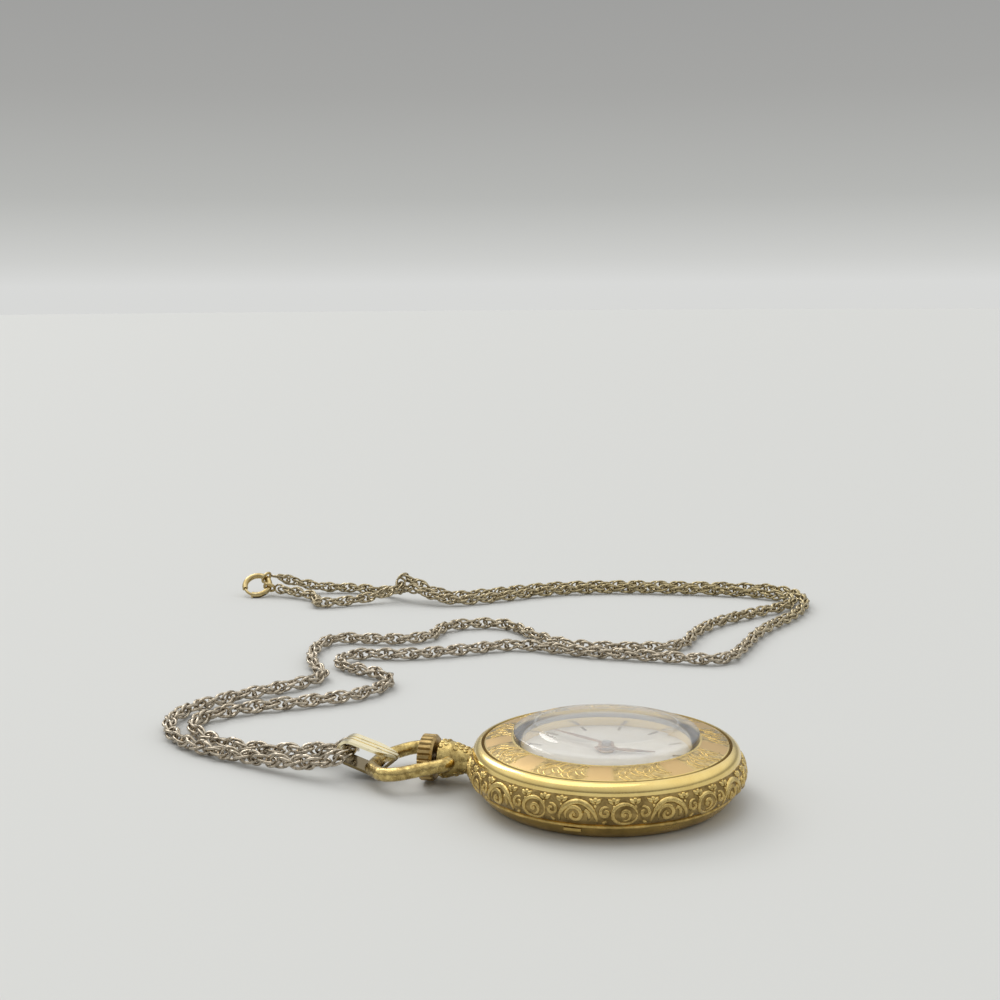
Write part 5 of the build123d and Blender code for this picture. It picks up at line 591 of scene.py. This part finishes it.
bezel_tree = bezel_finish.node_tree
bezel_shader = shader_of(bezel_finish)
bezel_worn = worn_node(bezel_finish)
bezel_place = bezel_tree.nodes.new("ShaderNodeTexCoord")
bezel_flat = bezel_tree.nodes.new("ShaderNodeVectorMath")
bezel_flat.operation = "MULTIPLY"
bezel_flat.inputs[1].default_value = (1.0, 1.0, 0.0)
link(bezel_tree, bezel_place.outputs["Object"], bezel_flat.inputs[0])
bezel_reach = bezel_tree.nodes.new("ShaderNodeVectorMath")
bezel_reach.operation = "LENGTH"
link(bezel_tree, bezel_flat.outputs["Vector"], bezel_reach.inputs[0])
bezel_axes = bezel_tree.nodes.new("ShaderNodeSeparateXYZ")
link(bezel_tree, bezel_place.outputs["Object"], bezel_axes.inputs["Vector"])
bezel_turn = maths(bezel_tree, "ARCTAN2", bezel_axes.outputs["Y"], bezel_axes.outputs["X"])
bezel_wave = maths(bezel_tree, "MULTIPLY", bezel_turn, float(PANEL_COUNT))
bezel_wave = maths(bezel_tree, "COSINE", maths(bezel_tree, "ADD", bezel_wave, PANEL_START))
panel_mask = ramp_mask(bezel_tree, bezel_wave, *PANEL_EDGES)
ring_mask = band_mask(bezel_tree, bezel_reach.outputs["Value"], ENGRAVED_RADII)
# The groove is coloured olive as painted shade in its recess.
groove_shade_mask = band_mask(bezel_tree, bezel_reach.outputs["Value"], GROOVE_RADII)
leaf_mask = maths(bezel_tree, "SUBTRACT", 1.0, panel_mask)
cut_mask = maths(bezel_tree, "MULTIPLY", ring_mask, leaf_mask)
satin_mask = maths(bezel_tree, "MULTIPLY", ring_mask, panel_mask)
cuts = new_node(bezel_tree, "ShaderNodeTexVoronoi", Scale=CUT_SCALE)
cuts.feature = "F1"
link(bezel_tree, bezel_place.outputs["Object"], cuts.inputs["Vector"])
cut_bump = new_node(bezel_tree, "ShaderNodeBump", Distance=CUT_DEPTH)
link(bezel_tree, cut_mask, cut_bump.inputs["Strength"])
link(bezel_tree, cuts.outputs["Distance"], cut_bump.inputs["Height"])
link(bezel_tree, bezel_worn.outputs["Normal"], cut_bump.inputs["Normal"])
link(bezel_tree, cut_bump.outputs["Normal"], bezel_shader.inputs["Normal"])
cut_share = ramp_mask(bezel_tree, cuts.outputs["Distance"], *CUT_DARK_EDGES)
cut_dark = maths(bezel_tree, "MULTIPLY", cut_mask, cut_share)
ring_tone = maths(bezel_tree, "MULTIPLY", ring_mask, RING_TONE)
bezel_colour = bezel_worn.outputs["Color"]
for mask, colour in (
    (ring_tone, RING_GOLD), (satin_mask, PANEL_PEACH), (cut_dark, GOLD_OLIVE),
    (groove_shade_mask, GOLD_OLIVE),
):
    bezel_colour = blend_colours(bezel_tree, mask, bezel_colour, colour)
link(bezel_tree, bezel_colour, bezel_shader.inputs["Base Color"])
satin_gloss = maths(bezel_tree, "MULTIPLY", satin_mask, SATIN_GLOSS)
bezel_gloss = maths(bezel_tree, "ADD", bezel_worn.outputs["Roughness"], satin_gloss)
link(bezel_tree, bezel_gloss, bezel_shader.inputs["Roughness"])
leaf_finish = make_finish("leaf_gold", GOLD, RING_GOLD, Tarnish_Share=0.46, Cloud_Scale=1500.0,
                          Grain_Scale=6000.0, Grain_Depth=0.3, Gloss_Low=0.15, Gloss_High=0.35)
LEAVES_PER_PANEL = 8
LEAF_WIDTH = 0.2 * MM
LEAF_HEIGHT = 0.04 * MM
LEAF_RUN_SHARE = 0.62
LEAF_STEM_STEPS = 24
LEAF_STEM_RADIUS = 11.75
LEAF_STEM_WAVE = 0.45
LEAF_STEPS = 5
LEAF_CURL = 1.5
LEAF_SHAPES = ((1.1, 0.07), (0.75, 0.025))


def bezel_seat(angle, radius):
    """A place on the bezel's engraved ring, its radius in millimetres."""
    start = (radius * MM * cos(angle), radius * MM * sin(angle), RAY_START)
    return cast_to("bezel", start, (0.0, 0.0, -1.0))


def leaf_stem_radius(share):
    """How far out the leaves' wavy stem runs, at a share of its length."""
    return LEAF_STEM_RADIUS + LEAF_STEM_WAVE * sin(share * pi * 4)


leaf_lists = ([], [])
run_angle = tau * LEAF_RUN_SHARE / PANEL_COUNT
for panel in range(PANEL_COUNT):
    start = (tau * panel + pi - PANEL_START) / PANEL_COUNT
    stem = []
    for k in range(LEAF_STEM_STEPS + 1):
        share = k / LEAF_STEM_STEPS
        stem.append(bezel_seat(start + run_angle * (share - 0.5), leaf_stem_radius(share)))
    if all(stem):
        add_stroke(leaf_lists, stem, LEAF_WIDTH, LEAF_HEIGHT)
    for leaf in range(LEAVES_PER_PANEL):
        share = (leaf + 0.5) / LEAVES_PER_PANEL
        angle = start + run_angle * (share - 0.5)
        root = leaf_stem_radius(share)
        for way in (-1, 1):
            for reach, lean in LEAF_SHAPES:
                seats = []
                for k in range(LEAF_STEPS + 1):
                    along = k / LEAF_STEPS
                    radius = root + way * reach * sin(along * pi / 2)
                    seats.append(bezel_seat(angle + lean * along ** LEAF_CURL, radius))
                if all(seats):
                    add_stroke(leaf_lists, seats, LEAF_WIDTH, LEAF_HEIGHT)
bezel_leaves = add_object("bezel_leaves", *leaf_lists)
bezel_leaves.data.materials.append(leaf_finish)
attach(bezel_leaves, "case")

# Crystal: one thick moulded piece of clear acrylic with a rounded shoulder, pressed into the
# bezel from below. Its gloss is a coat, so that the dial is seen without a dark rim.
ACRYLIC_CLEAR = (1.0, 1.0, 1.0, 1.0)
ACRYLIC_AGED = (0.98, 0.975, 0.96, 1.0)
crystal_finish = make_finish("clear_acrylic", ACRYLIC_CLEAR, ACRYLIC_AGED, metallic=0.0,
                             Gloss_Low=0.03, Gloss_High=0.1, Grain_Depth=0.01)
set_inputs(shader_of(crystal_finish), Transmission_Weight=0.86, IOR=1.01,
           Coat_Weight=1.0, Coat_IOR=1.49, Coat_Roughness=0.03)
dress(crystal_finish, "crystal")

# Pendant neck and bow: cast brass with a granular chased skin and rows of low grains on the
# neck, gold-plated. The neck is pressed into the band, and the bow springs on two pins in the
# neck's ears.
NECK_TARNISH = (0.24, 0.16, 0.05, 1.0)
NECK_GRAIN_RADIUS = 0.27 * MM
NECK_GRAIN_RISE = 0.11 * MM
NECK_AXIS_Z = 3.1 * MM
NECK_ROWS_Y = (0.0157, 0.01625, 0.0168, 0.0179, 0.01845)
NECK_GRAINS_PER_ROW = 14
NECK_RAY_START = 0.01
PIN_SIDE_SHARE = 0.75
neck_finish = make_finish("neck_gold", GOLD_PALE, NECK_TARNISH, Tarnish_Share=0.48,
                          Cloud_Scale=1100.0, Grain_Scale=1500.0, Grain_Depth=1.0, Gloss_Low=0.16,
                          Gloss_High=0.34)
dress(neck_finish, "pendant_neck", "bow")
grain_lists = ([], [])
for row, y in enumerate(NECK_ROWS_Y):
    for grain in range(NECK_GRAINS_PER_ROW):
        turn = tau * (grain + row % 2 / 2) / NECK_GRAINS_PER_ROW
        out = Vector((cos(turn), 0.0, sin(turn)))
        seat = cast_to("pendant_neck", out * NECK_RAY_START + Vector((0.0, y, NECK_AXIS_Z)), -out)
        if seat and abs(out.x) < PIN_SIDE_SHARE:
            add_bead(grain_lists, seat, NECK_GRAIN_RADIUS, NECK_GRAIN_RISE)
neck_grains = add_object("neck_grains", *grain_lists)
neck_grains.data.materials.append(neck_finish)
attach(neck_grains, "case")

# Crown: a small fluted knob of gold-plated brass, fixed on the end of the stem. Its plate
# is rubbed brown by winding.
CROWN_GOLD = (0.58, 0.42, 0.17, 1.0)
CROWN_BROWN = (0.27, 0.18, 0.08, 1.0)
crown_finish = make_finish("crown_gold", CROWN_GOLD, CROWN_BROWN, Tarnish_Share=0.45,
                           Cloud_Scale=900.0, Grain_Scale=5000.0, Grain_Depth=0.2, Gloss_Low=0.25,
                           Gloss_High=0.42)
dress(crown_finish, "crown")

# Bail: a ribbed strip of gold-plated brass, folded round the end bar of the bow and the
# chain, and soldered where its ends meet.
BAIL_GOLD = (0.96, 0.86, 0.58, 1.0)
BAIL_TARNISH_AND_SHADE = (0.20, 0.15, 0.07, 1.0)
BAIL_PAINTED_SHADE_Z = (0.0022, 0.0032)
bail_finish = make_finish("bail_gold", BAIL_GOLD, BAIL_TARNISH_AND_SHADE, Tarnish_Share=0.22,
                          Cloud_Scale=700.0, Grain_Scale=4000.0, Grain_Stretch=(1.0, 0.15, 1.0),
                          Grain_Depth=0.2, Gloss_Low=0.14, Gloss_High=0.3)
# Below this height the bail is painted dark as painted shade, so its lower leaf looks shadowed
# under the lit upper leaf. The same dark colour also serves as the bail's tarnish.
fade_colour(bail_finish, "Metal", "Z", BAIL_PAINTED_SHADE_Z, BAIL_TARNISH_AND_SHADE, BAIL_GOLD)
dress(bail_finish, "bail")

# Chain: one loose double-linked rope chain of fine oval wire links, in two strands that both
# leave the bail's eye. It is silvery and tarnished near the watch and yellower near the clasp.
CHAIN_SILVER = (0.78, 0.69, 0.56, 1.0)
CHAIN_GOLD = (0.66, 0.55, 0.31, 1.0)
CHAIN_DARK = (0.13, 0.10, 0.055, 1.0)
CHAIN_TURNS_GOLD_X = (0.055, 0.105)
LINK_PITCH = 0.00094
LINK_HALF_LENGTH = 0.00122
LINK_HALF_WIDTH = 0.00078
LINK_WIRE = 0.00019
LINK_END_ROOM = 0.00095
LINK_STEPS = 18
LINK_SIDES = 6
LINK_TWIST = radians(45.0)
LINK_WANDER = radians(35.0)
LINK_WANDER_SCALE = 90.0
LINK_TILT = radians(9.0)
STEEP_LIMIT = 0.2
LINE_RESOLUTION = 16
LINE_ORDER = 3
STRAND_A_ROUTE = (
    (0.00000, 0.02940, 0.00300), (-0.00280, 0.02940, 0.00300), (-0.00260, 0.03380, 0.00170),
    (0.00040, 0.04380, 0.00100), (0.00320, 0.05160, 0.00100), (0.00820, 0.05700, 0.00100),
    (0.01440, 0.05900, 0.00100), (0.02140, 0.05680, 0.00100), (0.02870, 0.05140, 0.00100),
    (0.03640, 0.04640, 0.00100), (0.04200, 0.05120, 0.00100), (0.05040, 0.05480, 0.00100),
    (0.05920, 0.05460, 0.00100), (0.05920, 0.04560, 0.00100), (0.06260, 0.03940, 0.00100),
    (0.07100, 0.04040, 0.00100), (0.07540, 0.03100, 0.00100), (0.06740, 0.02460, 0.00100),
    (0.06220, 0.01780, 0.00100), (0.06240, 0.01040, 0.00100), (0.06520, 0.00060, 0.00100),
    (0.07500, 0.00060, 0.00100), (0.08440, -0.00240, 0.00100), (0.09140, -0.00720, 0.00100),
    (0.09960, -0.01320, 0.00100), (0.10620, -0.01220, 0.00100), (0.10840, -0.00100, 0.00100),
    (0.10740, 0.00900, 0.00100), (0.10640, 0.01800, 0.00100), (0.10200, 0.02940, 0.00100),
    (0.09340, 0.03780, 0.00100), (0.08800, 0.04480, 0.00100), (0.09020, 0.05220, 0.00300),
    (0.09380, 0.05680, 0.00100), (0.09600, 0.06460, 0.00100), (0.09360, 0.07240, 0.00120),
    (0.09192, 0.07940, 0.00350),
)
STRAND_B_ROUTE = (
    (0.00000, 0.02940, 0.00300), (0.00280, 0.02940, 0.00300), (0.00260, 0.03380, 0.00170),
    (0.00300, 0.04340, 0.00100), (0.00620, 0.05120, 0.00100), (0.01200, 0.05600, 0.00100),
    (0.01880, 0.05220, 0.00100), (0.02380, 0.04500, 0.00100), (0.02960, 0.03800, 0.00100),
    (0.03880, 0.03680, 0.00100), (0.04300, 0.04880, 0.00100), (0.05020, 0.04780, 0.00100),
    (0.05100, 0.03980, 0.00100), (0.05640, 0.03180, 0.00100), (0.06180, 0.02540, 0.00100),
    (0.05880, 0.01600, 0.00100), (0.05880, 0.00500, 0.00100), (0.05820, -0.00640, 0.00100),
    (0.06620, -0.00800, 0.00100), (0.07940, -0.00940, 0.00100), (0.09300, -0.01460, 0.00100),
    (0.10460, -0.01520, 0.00100), (0.11180, -0.01040, 0.00100), (0.11200, -0.00200, 0.00100),
    (0.11080, 0.00800, 0.00100), (0.10920, 0.01900, 0.00100), (0.10480, 0.03100, 0.00100),
    (0.09680, 0.03960, 0.00100), (0.09160, 0.04600, 0.00100), (0.09200, 0.05260, 0.00360),
    (0.09220, 0.05440, 0.00420), (0.09040, 0.05440, 0.00240), (0.08680, 0.05960, 0.00100),
    (0.08220, 0.06540, 0.00100), (0.08240, 0.06720, 0.00100), (0.08860, 0.06900, 0.00100),
    (0.08982, 0.07780, 0.00148),
)

chain_finish = make_finish("chain_metal", CHAIN_SILVER, CHAIN_DARK, Tarnish_Share=0.43,
                           Cloud_Scale=1800.0, Grain_Scale=9000.0, Grain_Depth=0.1,
                           Gloss_Low=0.08, Gloss_High=0.26)
fade_colour(chain_finish, "Metal", "X", CHAIN_TURNS_GOLD_X, CHAIN_SILVER, CHAIN_GOLD)


def spline_points(name, route):
    """Points along the smooth line that a strand of chain follows through its route."""
    curve = bpy.data.curves.new(name, "CURVE")
    curve.dimensions = "3D"
    curve.resolution_u = LINE_RESOLUTION
    spline = curve.splines.new("NURBS")
    spline.points.add(len(route) - 1)
    for control, place in zip(spline.points, route):
        control.co = (*place, 1.0)
    spline.order_u = LINE_ORDER
    spline.use_endpoint_u = True
    line = bpy.data.objects.new(name, curve)
    bpy.context.collection.objects.link(line)
    bpy.context.view_layer.update()
    evaluated = line.evaluated_get(bpy.context.evaluated_depsgraph_get())
    traced = bpy.data.meshes.new_from_object(evaluated)
    points = [vertex.co.copy() for vertex in traced.vertices]
    bpy.data.meshes.remove(traced)
    bpy.data.objects.remove(line)
    bpy.data.curves.remove(curve)
    return points


def even_places(points, spacing, first, last_room):
    """Evenly spaced places along a line, each with its direction, up to near the line's end."""
    whole = sum((after - before).length for before, after in zip(points[:-1], points[1:]))
    places = []
    travelled = 0.0
    due = first
    for before, after in zip(points[:-1], points[1:]):
        step = (after - before).length
        while step > 0 and due <= min(travelled + step, whole - last_room):
            share = (due - travelled) / step
            places.append((before.lerp(after, share), (after - before) / step))
            due += spacing
        travelled += step
    return places


def add_link(mesh_lists, middle, along, lean, tilt):
    """One oval wire link, leaned about the strand's line and tilted out of its own plane."""
    vertices, faces = mesh_lists
    up = Vector((0.0, 0.0, 1.0))
    side = up.cross(along)
    side = side.normalized() if side.length > STEEP_LIMIT else Vector((1.0, 0.0, 0.0))
    up = along.cross(side)
    flat = side * cos(lean) + up * sin(lean)
    out = along.cross(flat)
    along, out = along * cos(tilt) + out * sin(tilt), out * cos(tilt) - along * sin(tilt)
    first = len(vertices)
    for step in range(LINK_STEPS):
        turn = tau * step / LINK_STEPS
        rim = along * (cos(turn) * LINK_HALF_LENGTH) + flat * (sin(turn) * LINK_HALF_WIDTH)
        tangent = flat * (cos(turn) * LINK_HALF_WIDTH) - along * (sin(turn) * LINK_HALF_LENGTH)
        outward = tangent.cross(out).normalized()
        for part in range(LINK_SIDES):
            bend = tau * part / LINK_SIDES
            skin = (outward * cos(bend) + out * sin(bend)) * LINK_WIRE
            vertices.append(tuple(middle + rim + skin))
    for step in range(LINK_STEPS):
        for part in range(LINK_SIDES):
            low = first + step * LINK_SIDES
            high = first + (step + 1) % LINK_STEPS * LINK_SIDES
            following = (part + 1) % LINK_SIDES
            faces.append((low + part, high + part, high + following, low + following))


def add_strand(name, node, route, phase):
    """One strand of links in place of its CAD tube, which is hidden."""
    points = spline_points(name + "_line", route)
    strand_lists = ([], [])
    places = even_places(points, LINK_PITCH, LINK_PITCH * (1 + phase), LINK_END_ROOM)
    for k, (middle, along) in enumerate(places):
        wander = noise.noise(middle * LINK_WANDER_SCALE) * LINK_WANDER
        tilt = LINK_TILT * (1 if k % 2 else -1)
        add_link(strand_lists, middle, along, LINK_TWIST * k + wander, tilt)
    strand = add_object(name, *strand_lists)
    strand.data.materials.append(chain_finish)
    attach(strand, "bail_and_chain")
    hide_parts(node)


add_strand("chain_links_a", "chain_strand_a", STRAND_A_ROUTE, 0.0)
add_strand("chain_links_b", "chain_strand_b", STRAND_B_ROUTE, 0.5)

# Clasp: a spring ring of gold-filled tube with a sliding gate and its thumb piece, and the
# two closed jump rings that hold the strands' last links.
CLASP_GOLD = (0.66, 0.54, 0.29, 1.0)
clasp_finish = make_finish("clasp_gold", CLASP_GOLD, GOLD_OLIVE, Tarnish_Share=0.42,
                           Cloud_Scale=900.0, Grain_Scale=6000.0, Grain_Depth=0.12,
                           Gloss_Low=0.16, Gloss_High=0.34)
dress(clasp_finish, "spring_ring", "spring_ring_gate", "clasp_jump_ring", "end_jump_ring")
